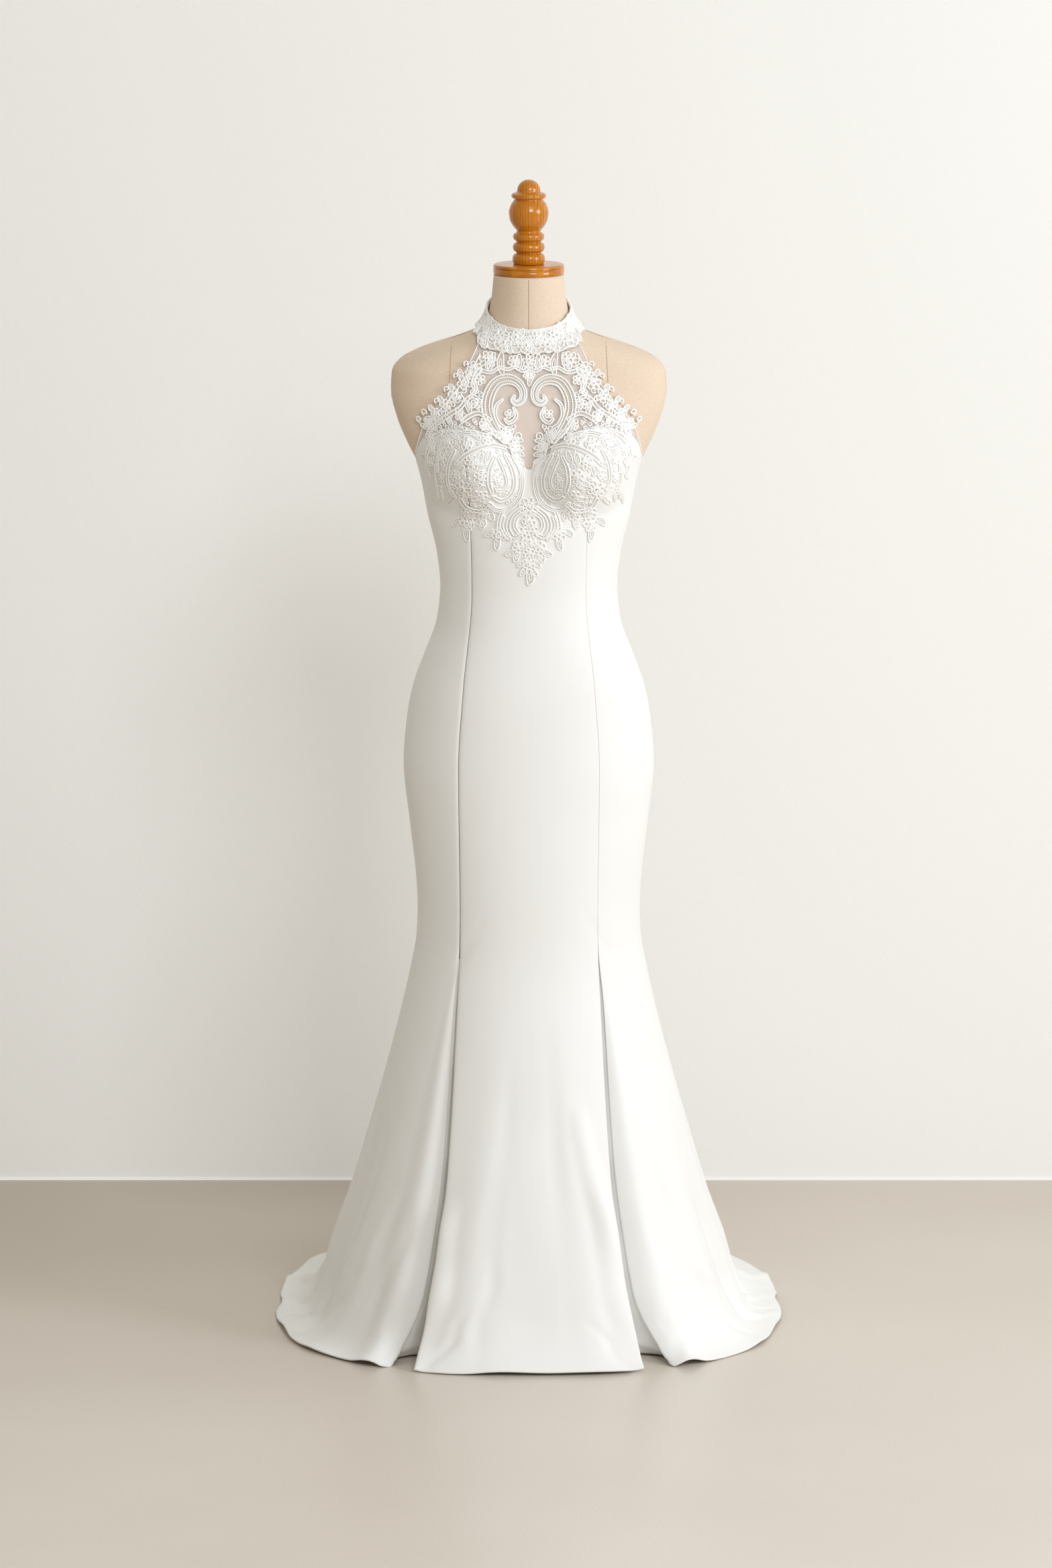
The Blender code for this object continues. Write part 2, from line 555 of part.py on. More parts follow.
def yoke_grid(rows=9):
    """Angles and levels of the sheer yoke, whose lower edge follows the upper edge of the panels."""
    middle, _ = panel_grid(lambda l: -inner_edge(l), inner_edge, FRONT_COLUMNS)
    side, _ = panel_grid(outer_edge, fixed(SIDE_ANGLE - GAP_ANGLE), SIDE_COLUMNS)
    low_angle = np.concatenate([-side[0, 4:0:-1], middle[0], side[0, 1:5]])
    low = TOP_CURVE(np.abs(np.degrees(low_angle))) + SEAM_GAP
    low_x = skin(low_angle, low)[:, 0]
    share = np.linspace(0, 1, rows + 1)[::-1, None]
    end_width = YOKE_CURVE(share) + (low_x[-1] - YOKE_CURVE(0.0)) * (1 - share)
    x = low_x / low_x[-1] * end_width
    level = np.full(len(low_x), 1.39)
    for _ in range(12):
        level = COLLAR_LOWER(np.abs(np.degrees(angle_at(x[0], level))))
    levels = low + (level - 2 * SEAM_GAP - low) * share
    angles = angle_at(x, levels)
    angles[-1] = low_angle
    return angles, levels


def build_yoke(net, collection):
    angle, level = yoke_grid()
    return wall("yoke_net", angle, level, NET, net, collection)


def smooth_path(rows, samples):
    """A curve through the points of a scroll, with its width, as rows of three numbers."""
    table = np.array(rows, float)
    table = np.concatenate([2 * table[:1] - table[1:2], table, 2 * table[-1:] - table[-2:-1]])
    found = []
    for i in range(1, len(table) - 2):
        p0, p1, p2, p3 = table[i - 1 : i + 3]
        for t in np.arange(samples) / samples:
            bend = (2 * p0 - 5 * p1 + 4 * p2 - p3) * t * t + (3 * p1 - p0 - 3 * p2 + p3) * t**3
            found.append(0.5 * (2 * p1 + (p2 - p0) * t + bend))
    found.append(table[-2])
    return np.array(found)


def scroll_outline(rows, samples=2):
    """The outline of a scroll's band, with a round end."""
    path = smooth_path(rows, samples)
    direction = np.gradient(path[:, :2], axis=0)
    direction /= np.linalg.norm(direction, axis=1, keepdims=True)
    side = np.stack([-direction[:, 1], direction[:, 0]], axis=1) * path[:, 2:3] / 2
    first = path[0, :2] - direction[0] * path[0, 2] / 2
    last = path[-1, :2] + direction[-1] * path[-1, 2] / 2
    return np.concatenate([path[:, :2] + side, [last], (path[:, :2] - side)[::-1], [first]])


def flower_outline(x, z, radius, petals):
    turn = np.radians(90) + np.arange(2 * petals) * np.pi / petals
    reach = radius * np.where(np.arange(2 * petals) % 2, 0.82, 1.0)
    return np.stack([x + reach * np.cos(turn), z + reach * np.sin(turn)], axis=1)


def leaf_outline(x, z, length, width, pointing):
    shape = np.array([(0, 0.16), (0.35, 0.5), (0.75, 0.38), (1, 0), (0.75, -0.38), (0.35, -0.5), (0, -0.16)])
    along, across = shape[:, 0] * length, shape[:, 1] * width
    turn = np.radians(pointing)
    return np.stack(
        [x + along * np.cos(turn) - across * np.sin(turn), z + along * np.sin(turn) + across * np.cos(turn)], axis=1
    )


def signed_area(outline):
    """The area inside an outline, negative when it runs clockwise."""
    after = np.roll(outline, -1, axis=0)
    return 0.5 * np.sum(outline[:, 0] * after[:, 1] - outline[:, 1] * after[:, 0])


def lace_outlines():
    """Every motif of the lace as a closed outline in millimetres, on both halves."""
    half = [scroll_outline(rows) for rows in SCROLLS]
    half += [flower_outline(*row) for row in FLOWERS]
    half += [leaf_outline(*row) for row in LEAVES]
    return mirrored(half)


def mirrored(half):
    """These outlines and their mirror images, all running anticlockwise."""
    both = half + [outline * (-1, 1) for outline in half]
    return [outline if signed_area(outline) > 0 else outline[::-1] for outline in both]


def flat_triangles(outlines, lines):
    """Triangles of the plane cut along all these closed outlines and open lines, and what covers each."""
    points, edges, faces = [], [], []
    for outline in outlines:
        first = len(points)
        points += [Vector(p) for p in outline]
        faces.append(list(range(first, len(points))))
    for line in lines:
        first = len(points)
        points += [Vector(p) for p in line]
        edges += [(i, i + 1) for i in range(first, len(points) - 1)]
    found, _, triangles, _, _, covering = geometry.delaunay_2d_cdt(points, edges, faces, 0, 0.001, True)
    return np.array([tuple(p) for p in found]), np.array(triangles), covering


def groups_of(triangles, wanted):
    """The wanted triangles in groups that share edges."""
    by_edge = {}
    for t in np.flatnonzero(wanted):
        for i in range(3):
            edge = tuple(sorted((triangles[t][i], triangles[t][(i + 1) % 3])))
            by_edge.setdefault(edge, []).append(t)
    next_to = {t: [] for t in np.flatnonzero(wanted)}
    for pair in by_edge.values():
        if len(pair) == 2:
            next_to[pair[0]].append(pair[1])
            next_to[pair[1]].append(pair[0])
    groups, seen = [], set()
    for start in next_to:
        if start in seen:
            continue
        group, waiting = [], [start]
        seen.add(start)
        while waiting:
            t = waiting.pop()
            group.append(t)
            for other in next_to[t]:
                if other not in seen:
                    seen.add(other)
                    waiting.append(other)
        groups.append(group)
    return groups


SMALLEST_GAP = 22.0     # square millimetres, about 4 mm across at its narrowest


def lace_loops(low_line, high_line, on_ground):
    """The edges of the lace between two lines: the outer one first, and then those of the gaps."""
    motifs = lace_outlines()
    grounds = mirrored([np.array(GROUND, float)])
    gaps = mirrored([leaf_outline(*row) for row in GAPS])
    points, triangles, covering = flat_triangles(motifs + grounds + gaps, [low_line, high_line])
    corner = points[triangles]
    centre = corner.mean(axis=1)
    first, second = corner[:, 1] - corner[:, 0], corner[:, 2] - corner[:, 0]
    area = np.abs(first[:, 0] * second[:, 1] - first[:, 1] * second[:, 0]) / 2
    above = centre[:, 1] > np.interp(centre[:, 0], low_line[:, 0], low_line[:, 1])
    below = centre[:, 1] < np.interp(centre[:, 0], high_line[:, 0], high_line[:, 1])
    between = above & below
    last_motif, last_ground = len(motifs), len(motifs) + len(grounds)
    in_motif = np.array([any(f < last_motif for f in faces) for faces in covering])
    in_ground = np.array([any(last_motif <= f < last_ground for f in faces) for faces in covering])
    in_gap = np.array([any(f >= last_ground for f in faces) for faces in covering])
    covered = (in_motif | in_ground & ~in_gap & on_ground) & between
    for gap in groups_of(triangles, between & ~covered):
        if area[gap].sum() < SMALLEST_GAP:
            covered[gap] = True
    pieces = groups_of(triangles, covered)
    piece = max(pieces, key=lambda group: area[group].sum())
    dropped = sum(area[group].sum() for group in pieces) - area[piece].sum()
    print("lace piece", round(area[piece].sum()), "mm2, left out", round(dropped), "mm2 in", len(pieces) - 1)
    ahead = {}
    for t in piece:
        a, b, c = triangles[t]
        for edge in ((a, b), (b, c), (c, a)):
            if (edge[1], edge[0]) in ahead:
                del ahead[edge[1], edge[0]]
            else:
                ahead[edge] = True
    return chain(points, list(ahead))


def chain(points, edges):
    """Closed loops through directed edges, each tidied to its main corners."""
    leaving = {}
    for a, b in edges:
        leaving.setdefault(a, []).append(b)
    loops = []
    while leaving:
        start = next(iter(leaving))
        loop, here, back = [start], leaving[start].pop(), start
        if not leaving[start]:
            del leaving[start]
        while here != start:
            loop.append(here)
            choices = leaving[here]
            if len(choices) > 1:
                arriving = points[here] - points[back]
                turns = [turn_between(arriving, points[c] - points[here]) for c in choices]
                pick = choices.pop(int(np.argmax(turns)))
            else:
                pick = choices.pop()
            if not choices:
                del leaving[here]
            back, here = here, pick
        loops.append(np.array([points[i] for i in loop]))
    return loops


def turn_between(first, second):
    cross = first[0] * second[1] - first[1] * second[0]
    return np.arctan2(cross, first @ second)


def thinned(loop, tolerance):
    """The loop without the corners that its outline hardly needs."""
    keep = list(range(len(loop)))
    while len(keep) > 6:
        kept = loop[keep]
        before, after = np.roll(kept, 1, axis=0), np.roll(kept, -1, axis=0)
        base = after - before
        off = np.abs(base[:, 0] * (kept - before)[:, 1] - base[:, 1] * (kept - before)[:, 0])
        off /= np.maximum(np.linalg.norm(base, axis=1), 1e-9)
        least = int(np.argmin(off))
        if off[least] > tolerance:
            break
        keep.pop(least)
    return loop[keep]


def apart(loops):
    """The loops with the corners at which two of them touch drawn into the smaller one."""
    seen = {}
    for loop in loops:
        for i, corner in enumerate(loop):
            place = (round(corner[0], 3), round(corner[1], 3))
            if place in seen:
                print("touching loops at", place)
                loop[i] += (loop.mean(axis=0) - corner) * 0.12
            seen[place] = True
    return loops


def build_lace(name, lines, on_ground, under, finish, collection, spacing):
    """A solid of lace between two lines, laid on the cloth under it."""
    loops = apart([thinned(loop, 0.6) for loop in lace_loops(*lines, on_ground)])
    gaps = sum(signed_area(loop) < 0 for loop in loops)
    loops = [loop if signed_area(loop) > 0 else loop[::-1] for loop in loops]
    points, edges = [], []
    for loop in loops:
        first = len(points)
        points += [Vector(p) for p in loop]
        edges += [(first + i, first + (i + 1) % len(loop)) for i in range(len(loop))]
    rim = np.array([tuple(p) for p in points])
    x0, z0 = rim.min(axis=0)
    x1, z1 = rim.max(axis=0)
    for j, z in enumerate(np.arange(z0, z1, spacing * 0.87)):
        for x in np.arange(-np.ceil(-x0 / spacing) * spacing, x1, spacing) + (j % 2) * spacing / 2:
            if np.min(np.linalg.norm(rim - (x, z), axis=1)) > spacing * 0.45:
                points.append(Vector((x, z)))
    faces = []
    first = 0
    for loop in loops:
        faces.append(list(range(first, first + len(loop))))
        first += len(loop)
    found, _, triangles, _, _, covering = geometry.delaunay_2d_cdt(points, edges, faces, 0, 0.001, True)
    inside = [t for t, faces_over in zip(triangles, covering) if len(faces_over) % 2 == 1]
    used = sorted({i for t in inside for i in t})
    number = {old: new for new, old in enumerate(used)}
    inside = [[number[i] for i in t] for t in inside]
    flat = np.array([tuple(found[i]) for i in used]) / 1000
    angle = angle_along(flat[:, 0], flat[:, 1])
    out = skin_normal(angle, flat[:, 1])
    base = skin(angle, flat[:, 1]) + out * LACE_LIFT
    base = clear_of(base, out, inside, under, 0.0002, 0.0002)
    top = base + out * LACE
    count = len(flat)
    open_edges = {}
    for a, b, c in inside:
        for edge in ((a, b), (b, c), (c, a)):
            if (edge[1], edge[0]) in open_edges:
                del open_edges[edge[1], edge[0]]
            else:
                open_edges[edge] = True
    walls = [(a, a + count, b + count, b) for a, b in open_edges]
    whole = [(a + count, c + count, b + count) for a, b, c in inside] + [tuple(t) for t in inside] + walls
    whole = [face[::-1] for face in whole]
    mesh = bpy.data.meshes.new(name)
    mesh.from_pydata(np.concatenate([base, top]).tolist(), [], whole)
    bm = bmesh.new()
    bm.from_mesh(mesh)
    bmesh.ops.recalc_face_normals(bm, faces=bm.faces)
    bm.to_mesh(mesh)
    bm.free()
    print(name, "loops", len(loops), "gaps", gaps, "points", count)
    return add_object(name, mesh, finish, collection)


def edge_line(curve, drop):
    """A line of the dress laid out flat in millimetres, where a curve gives its height at each angle."""
    angle = np.radians(np.linspace(-105, 105, 85))
    level = curve(np.abs(np.degrees(angle)))
    distance = distance_along(angle, level)
    return np.stack([distance, level + drop], axis=1) * 1000


def build_laces(panels, net_wall, lace, collection):
    neckline = edge_line(TOP_CURVE, 0.0)
    under_collar = edge_line(COLLAR_LOWER, -0.0016)
    gap = np.array([0.0, 1000 * SEAM_GAP / 2 + 0.25])
    floor_line = np.array([(-400.0, 1000.0), (400.0, 1000.0)])
    under = surface_tree([net_wall] + panels)
    build_lace("lace_yoke", (neckline + gap, under_collar), False, under, lace, collection, 14.0)
    build_lace("lace_bodice", (floor_line, neckline - gap), True, under, lace, collection, 12.0)


def build_collar(lace_cloth, collection):
    """The standing lace collar, open at the nape where it buttons."""
    angle = np.radians(np.linspace(-179.6, 179.6, 33))[None, :]
    share = np.linspace(0, 1, 4)[:, None]
    degrees = np.abs(np.degrees(angle))
    level = COLLAR_UPPER(degrees) * (1 - share) + COLLAR_LOWER(degrees) * share
    return wall("collar", angle, level, CLOTH, lace_cloth, collection, lift=0.0012)


def ring_solid(name, rings, finish, collection):
    """A closed body through rings of points, capped at both ends; the rings run upwards."""
    bm = bmesh.new()
    loops = [[bm.verts.new(p) for p in ring] for ring in rings]
    for low, high in zip(loops, loops[1:]):
        for i in range(len(low)):
            j = (i + 1) % len(low)
            bm.faces.new((low[i], low[j], high[j], high[i]))
    bm.faces.new(loops[0][::-1])
    bm.faces.new(loops[-1])
    bmesh.ops.triangulate(bm, faces=bm.faces)
    mesh = bpy.data.meshes.new(name)
    bm.to_mesh(mesh)
    bm.free()
    return add_object(name, mesh, finish, collection)


FORM_LEVELS = (
    0.700, 0.750, 0.810, 0.865, 0.920, 0.965, 1.005, 1.046, 1.085, 1.120, 1.150, 1.172, 1.195, 1.218,
    1.241, 1.262, 1.284, 1.306, 1.328, 1.344, 1.358, 1.370, 1.381, 1.391, 1.400, 1.409, 1.422, 1.445, 1.4735,
)


def build_form(linen, cloth, collection):
    """The padded torso: the figure drawn in by the cloth's thickness, closed at neck and hip."""
    angle = np.radians(np.linspace(-180, 180, 32, endpoint=False))[None, :]
    level = np.array(FORM_LEVELS)[:, None]
    out = skin_normal(angle, level)
    points = skin(angle, level) - out * FORM_INSET
    rows, columns = points.shape[:2]
    faces = [
        (r * columns + c, r * columns + (c + 1) % columns, (r + 1) * columns + (c + 1) % columns, (r + 1) * columns + c)
        for r in range(rows - 1)
        for c in range(columns)
    ]
    halves = [half for a, b, c, d in faces for half in ((a, b, c), (a, c, d), (a, b, d), (b, c, d))]
    tree = surface_tree(cloth)
    points = clear_of(points.reshape(-1, 3), -out.reshape(-1, 3), halves, tree, 0.0003, 0.0002)
    points = points.reshape(rows, columns, 3)
    points[0, :, 2] = FORM_BOTTOM
    points[-1, :, 2] = NECK_TOP
    ring_solid("form_torso", points, linen, collection)


def turned(name, profile, finish, collection, steps=24):
    """A turned piece: the outline runs down its outer side as (radius, height), top to bottom."""
    mesh = bpy.data.meshes.new(name)
    points = [(radius, 0.0, height) for radius, height in profile]
    mesh.from_pydata(points, [(i, i + 1) for i in range(len(points) - 1)], [])
    made = add_object(name, mesh, finish, collection)
    screw = made.modifiers.new("Turn", "SCREW")
    screw.steps = screw.render_steps = steps
    screw.use_merge_vertices = True
    screw.merge_threshold = 0.0001
    return made


def bead(radius, half_height, height, hollow):
    """Outline points of one round bead, top to bottom, between hollows of the given radius."""
    turns = np.radians((60, 20, -20, -60))
    swell = radius - hollow
    return [(hollow + swell * np.cos(t), height + half_height * np.sin(t) / np.sin(np.radians(60))) for t in turns]


CAP_RADIUS = 0.0485
CAP_THICKNESS = 0.0140
CAP_BOTTOM = NECK_TOP + SEAM_GAP
FINIAL_BOTTOM = CAP_BOTTOM + CAP_THICKNESS + SEAM_GAP
POLE_RADIUS = 0.0140
BASE_RADIUS = 0.170
BASE_HEIGHT = 0.024
HUB_RADIUS = 0.032
HUB_TOP = 0.060


def build_stand(wood, steel, collection):
    """The turned cap and finial above the neck, and the plain pole and round base under the skirt."""
    round_edge = 0.0025
    turned(
        "neck_cap",
        [
            (0.0, CAP_BOTTOM + CAP_THICKNESS),
            (CAP_RADIUS - round_edge, CAP_BOTTOM + CAP_THICKNESS),
            (CAP_RADIUS, CAP_BOTTOM + CAP_THICKNESS - round_edge),
            (CAP_RADIUS, CAP_BOTTOM + round_edge),
            (CAP_RADIUS - round_edge, CAP_BOTTOM),
            (0.0, CAP_BOTTOM),
        ],
        wood,
        collection,
    )
    foot = FINIAL_BOTTOM
    outline = [(0.0, foot + 0.1150), (0.0080, foot + 0.1130), (0.0135, foot + 0.1080), (0.0164, foot + 0.0985)]
    outline += bead(0.0238, 0.0038, foot + 0.0930, 0.0195)
    outline += [(0.0205, foot + 0.0865), (0.0255, foot + 0.0780), (0.0272, foot + 0.0700), (0.0258, foot + 0.0600)]
    outline += [(0.0212, foot + 0.0510), (0.0170, foot + 0.0450)]
    outline += bead(0.0213, 0.0052, foot + 0.0370, 0.0180)
    outline += bead(0.0216, 0.0058, foot + 0.0225, 0.0180)
    outline += [(0.0185, foot + 0.0142), (0.0212, foot + 0.0115), (0.0216, foot + 0.0050), (0.0214, foot)]
    outline += [(0.0, foot)]
    turned("finial", outline, wood, collection, steps=20)
    turned(
        "stand_pole",
        [(0.0, FORM_BOTTOM - SEAM_GAP), (POLE_RADIUS, FORM_BOTTOM - SEAM_GAP)]
        + [(POLE_RADIUS, HUB_TOP + SEAM_GAP), (0.0, HUB_TOP + SEAM_GAP)],
        steel,
        collection,
    )
    turned(
        "stand_base",
        [
            (0.0, HUB_TOP),
            (HUB_RADIUS - 0.004, HUB_TOP),
            (HUB_RADIUS, HUB_TOP - 0.004),
            (HUB_RADIUS, BASE_HEIGHT + 0.006),
            (HUB_RADIUS + 0.010, BASE_HEIGHT),
            (BASE_RADIUS - 0.008, BASE_HEIGHT - 0.006),
            (BASE_RADIUS, BASE_HEIGHT - 0.014),
            (BASE_RADIUS, 0.0),
            (0.0, 0.0),
        ],
        steel,
        collection,
        steps=32,
    )


BUTTON_RADIUS = 0.0055
BUTTON_HEIGHT = 0.0042
BACK_BUTTONS = 10
BUTTON_TOP = 1.068
BUTTON_PITCH = 0.024


def build_button(name, level, sideways, under, crepe, collection):
    """A covered dome button that lies on the cloth beside the centre back."""
    angle = REAR_ANGLE - sideways
    point, out = skin(angle, level), skin_normal(angle, level)
    hit = under.ray_cast(Vector(point + out * 0.01), Vector(-out))
    point, out = np.array(hit[0]), np.array(hit[1])
    side = np.cross((0.0, 0.0, 1.0), out)
    side /= np.linalg.norm(side)
    rise = np.cross(out, side)
    rings = ((0.80, 0.0), (1.0, 0.30), (0.84, 0.74), (0.42, 1.0))
    turns = np.linspace(0, 2 * np.pi, 8, endpoint=False)
    circle = np.outer(np.cos(turns), side) + np.outer(np.sin(turns), rise)
    lift = 0.0
    for foot in circle * BUTTON_RADIUS * rings[0][0] + point:
        hit = under.ray_cast(Vector(foot + out * 0.01), Vector(-out))
        if hit[0] is not None:
            lift = max(lift, 0.01 - hit[3])
    foot = point + out * (lift + SEAM_GAP)
    loops = [foot + circle * BUTTON_RADIUS * share + out * BUTTON_HEIGHT * height for share, height in rings]
    ring_solid(name, loops, crepe, collection)


def build_buttons(under, crepe, collection):
    for i in range(BACK_BUTTONS):
        build_button(f"back_button_{i + 1:02d}", BUTTON_TOP - i * BUTTON_PITCH, 0.085, under, crepe, collection)
    for i, level in enumerate((1.442, 1.424)):
        build_button(f"collar_button_{i + 1}", level, 0.14, under, crepe, collection)


def main():
    for old in list(bpy.data.objects):
        bpy.data.objects.remove(old)
    collection = bpy.data.collections.new("mermaid_dress")
    bpy.context.scene.collection.children.link(collection)
    crepe = material("ivory_crepe", (0.86, 0.85, 0.82), 0.62)
    lace = material("ivory_lace", (0.88, 0.87, 0.85), 0.75)
    net = material("sheer_net", (0.90, 0.82, 0.77), 0.80, alpha=0.35)
    linen = material("linen_cover", (0.62, 0.49, 0.35), 0.90)
    wood = material("turned_wood", (0.45, 0.19, 0.04), 0.30)
    steel = material("stand_steel", (0.20, 0.20, 0.21), 0.40, metallic=1.0)
    panels = build_panels(crepe, collection)
    godets = build_godets(crepe, collection)
    net_wall = build_yoke(net, collection)
    collar = build_collar(lace, collection)
    build_laces(panels, net_wall, lace, collection)
    build_form(linen, panels + godets + [net_wall, collar], collection)
    build_stand(wood, steel, collection)
    build_buttons(surface_tree(panels + [collar]), crepe, collection)


main()
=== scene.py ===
"""Mermaid dress with a lace halter yoke on a limbless dress form: the cloth, lace, linen and wood that show.

Metres, +Z up, the front faces -Y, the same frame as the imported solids. Every piece of cloth lies on one
figure, whose rings, seams and folds repeat the part's own values.
"""

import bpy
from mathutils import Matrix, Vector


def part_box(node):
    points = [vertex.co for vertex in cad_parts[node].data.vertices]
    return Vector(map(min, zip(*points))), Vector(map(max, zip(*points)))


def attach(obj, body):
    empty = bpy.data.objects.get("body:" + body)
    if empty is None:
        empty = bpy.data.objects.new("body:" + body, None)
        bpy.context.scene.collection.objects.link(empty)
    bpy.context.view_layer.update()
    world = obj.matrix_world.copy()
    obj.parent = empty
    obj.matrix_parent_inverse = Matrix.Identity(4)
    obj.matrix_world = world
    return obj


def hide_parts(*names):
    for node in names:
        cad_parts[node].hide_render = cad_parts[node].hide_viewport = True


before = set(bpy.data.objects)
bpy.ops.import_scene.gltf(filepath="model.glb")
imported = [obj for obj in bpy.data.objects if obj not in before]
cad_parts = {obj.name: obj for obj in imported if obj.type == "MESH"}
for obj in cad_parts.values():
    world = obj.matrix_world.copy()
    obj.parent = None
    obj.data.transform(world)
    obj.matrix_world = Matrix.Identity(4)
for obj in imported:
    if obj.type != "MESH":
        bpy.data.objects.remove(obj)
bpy.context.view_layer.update()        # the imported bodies, nodes, joints and record

import math
from collections import namedtuple

import bmesh
import bpy
import numpy as np
from mathutils import Matrix, Vector

bl_info = {
    "name": "Mermaid dress on a dress form",
    "version": (1, 0, 0),
    "blender": (4, 5, 0),
    "location": "3D View > Sidebar > Dress",
    "description": "Crepe panels, sheer net, corded lace, covered buttons and the form that wears them",
    "category": "Add Mesh",
}

# Clearances shared with the solids
CLOTH = 0.0020          # thickness of the crepe walls
SEAM_GAP = 0.0003       # between two pieces that are sewn together
FORM_INSET = 0.0028     # the form's cover, under the outside of the dress

# Heights of the worn dress
NECK_TOP = 1.4735
WAIST = 1.046
FORM_BOTTOM = 0.700

# Rings of the worn figure from the neck down to the hem on the floor, one row each:
# level, half width, depth in front of the centre, depth behind it, centre behind the axis, squareness.
# Level is the height, and below 0.1 it only counts down to the hem, which lies on the floor.
Ring = namedtuple("Ring", "level half_width front back centre square")
RINGS = (
    Ring(1.480, 0.0500, 0.0530, 0.0540, -0.004, 2.0),
    Ring(1.440, 0.0540, 0.0560, 0.0580, -0.002, 2.0),
    Ring(1.427, 0.0565, 0.0580, 0.0600, -0.001, 2.0),
    Ring(1.415, 0.0610, 0.0600, 0.0620, 0.000, 2.0),
    Ring(1.404, 0.0700, 0.0640, 0.0670, 0.002, 2.0),
    Ring(1.393, 0.0930, 0.0680, 0.0720, 0.003, 2.1),
    Ring(1.382, 0.1280, 0.0720, 0.0780, 0.004, 2.2),
    Ring(1.371, 0.1570, 0.0750, 0.0840, 0.005, 2.3),
    Ring(1.358, 0.1790, 0.0780, 0.0890, 0.005, 2.4),
    Ring(1.342, 0.1895, 0.0820, 0.0930, 0.005, 2.6),
    Ring(1.314, 0.1910, 0.0880, 0.0980, 0.004, 2.6),
    Ring(1.279, 0.1835, 0.0950, 0.1010, 0.002, 2.5),
    Ring(1.241, 0.1680, 0.0980, 0.0990, 0.000, 2.4),
    Ring(1.204, 0.1505, 0.0980, 0.0950, 0.000, 2.3),
    Ring(1.144, 0.1385, 0.0950, 0.0880, 0.000, 2.2),
    Ring(1.090, 0.1260, 0.0910, 0.0810, 0.000, 2.2),
    Ring(1.046, 0.1215, 0.0890, 0.0800, 0.000, 2.2),
    Ring(1.000, 0.1260, 0.0920, 0.0900, 0.000, 2.2),
    Ring(0.949, 0.1440, 0.0980, 0.1080, 0.000, 2.2),
    Ring(0.910, 0.1580, 0.1020, 0.1200, 0.000, 2.2),
    Ring(0.870, 0.1665, 0.1050, 0.1280, 0.000, 2.15),
    Ring(0.801, 0.1725, 0.1080, 0.1320, 0.000, 2.1),
    Ring(0.716, 0.1640, 0.1100, 0.1270, 0.000, 2.1),
    Ring(0.638, 0.1555, 0.1120, 0.1200, 0.000, 2.1),
    Ring(0.599, 0.1535, 0.1135, 0.1180, 0.000, 2.1),
    Ring(0.559, 0.1550, 0.1170, 0.1210, 0.001, 2.1),
    Ring(0.520, 0.1615, 0.1240, 0.1300, 0.003, 2.1),
    Ring(0.454, 0.1760, 0.1440, 0.1530, 0.008, 2.1),
    Ring(0.260, 0.2290, 0.2160, 0.2430, 0.026, 2.1),
    Ring(0.151, 0.2620, 0.2700, 0.3060, 0.046, 2.15),
    Ring(0.100, 0.2780, 0.2980, 0.3480, 0.057, 2.2),
    Ring(0.060, 0.2910, 0.3240, 0.4000, 0.068, 2.25),
    Ring(0.030, 0.3120, 0.3490, 0.4480, 0.078, 2.3),
    Ring(0.012, 0.3330, 0.3700, 0.4840, 0.085, 2.35),
    Ring(0.000, 0.3540, 0.3850, 0.5150, 0.090, 2.35),
)

# Where the skirt comes down to the floor: level, height in front, at the sides and behind.
Landing = namedtuple("Landing", "level in_front at_side behind")
LANDINGS = (
    Landing(0.100, 0.1000, 0.1000, 0.1000),
    Landing(0.060, 0.0600, 0.0560, 0.0440),
    Landing(0.030, 0.0310, 0.0130, 0.0075),
    Landing(0.012, 0.0130, 0.0040, 0.0028),
    Landing(0.000, 0.0024, 0.0024, 0.0024),
)

# The long folds of the flared skirt, on both sides: angle from the front and half width in degrees,
# how deep the hollow is at the hem (negative for a ridge), and the level where it begins.
Fold = namedtuple("Fold", "angle half_width depth begins")
FOLDS = (
    Fold(0.0, 14.0, 0.007, 0.45),
    Fold(17.0, 9.0, -0.005, 0.50),
    Fold(55.0, 11.0, -0.007, 0.56),
    Fold(72.0, 10.0, 0.012, 0.42),
    Fold(97.0, 9.0, 0.020, 0.46),
    Fold(118.0, 11.0, -0.010, 0.50),
    Fold(140.0, 10.0, 0.018, 0.50),
    Fold(160.0, 10.0, -0.010, 0.45),
    Fold(180.0, 9.0, 0.014, 0.42),
)

# The front princess seam: level, its distance from the centre front, and the width of the opened godet.
Seam = namedtuple("Seam", "level from_centre opening")
PRINCESS = (
    Seam(1.300, 0.0900, 0.0003),
    Seam(1.222, 0.0850, 0.0003),
    Seam(1.144, 0.0800, 0.0003),
    Seam(1.046, 0.0780, 0.0003),
    Seam(0.910, 0.0900, 0.0003),
    Seam(0.801, 0.0965, 0.0003),
    Seam(0.599, 0.0945, 0.0003),
    Seam(0.560, 0.0950, 0.0004),
    Seam(0.480, 0.0985, 0.0045),
    Seam(0.260, 0.1115, 0.0110),
    Seam(0.151, 0.1250, 0.0150),
    Seam(0.060, 0.1400, 0.0190),
    Seam(0.000, 0.1570, 0.0250),
)

# The upper edge of the dress: angle from the front in degrees, and height.
Edge = namedtuple("Edge", "angle height")
TOP_EDGE = (
    Edge(0.0, 1.2170),
    Edge(14.0, 1.2400),
    Edge(32.0, 1.2690),
    Edge(47.0, 1.2785),
    Edge(60.0, 1.2680),
    Edge(71.0, 1.2440),
    Edge(80.0, 1.2190),
    Edge(90.0, 1.1950),
    Edge(112.0, 1.1660),
    Edge(142.0, 1.1180),
    Edge(180.0, 1.0800),
)

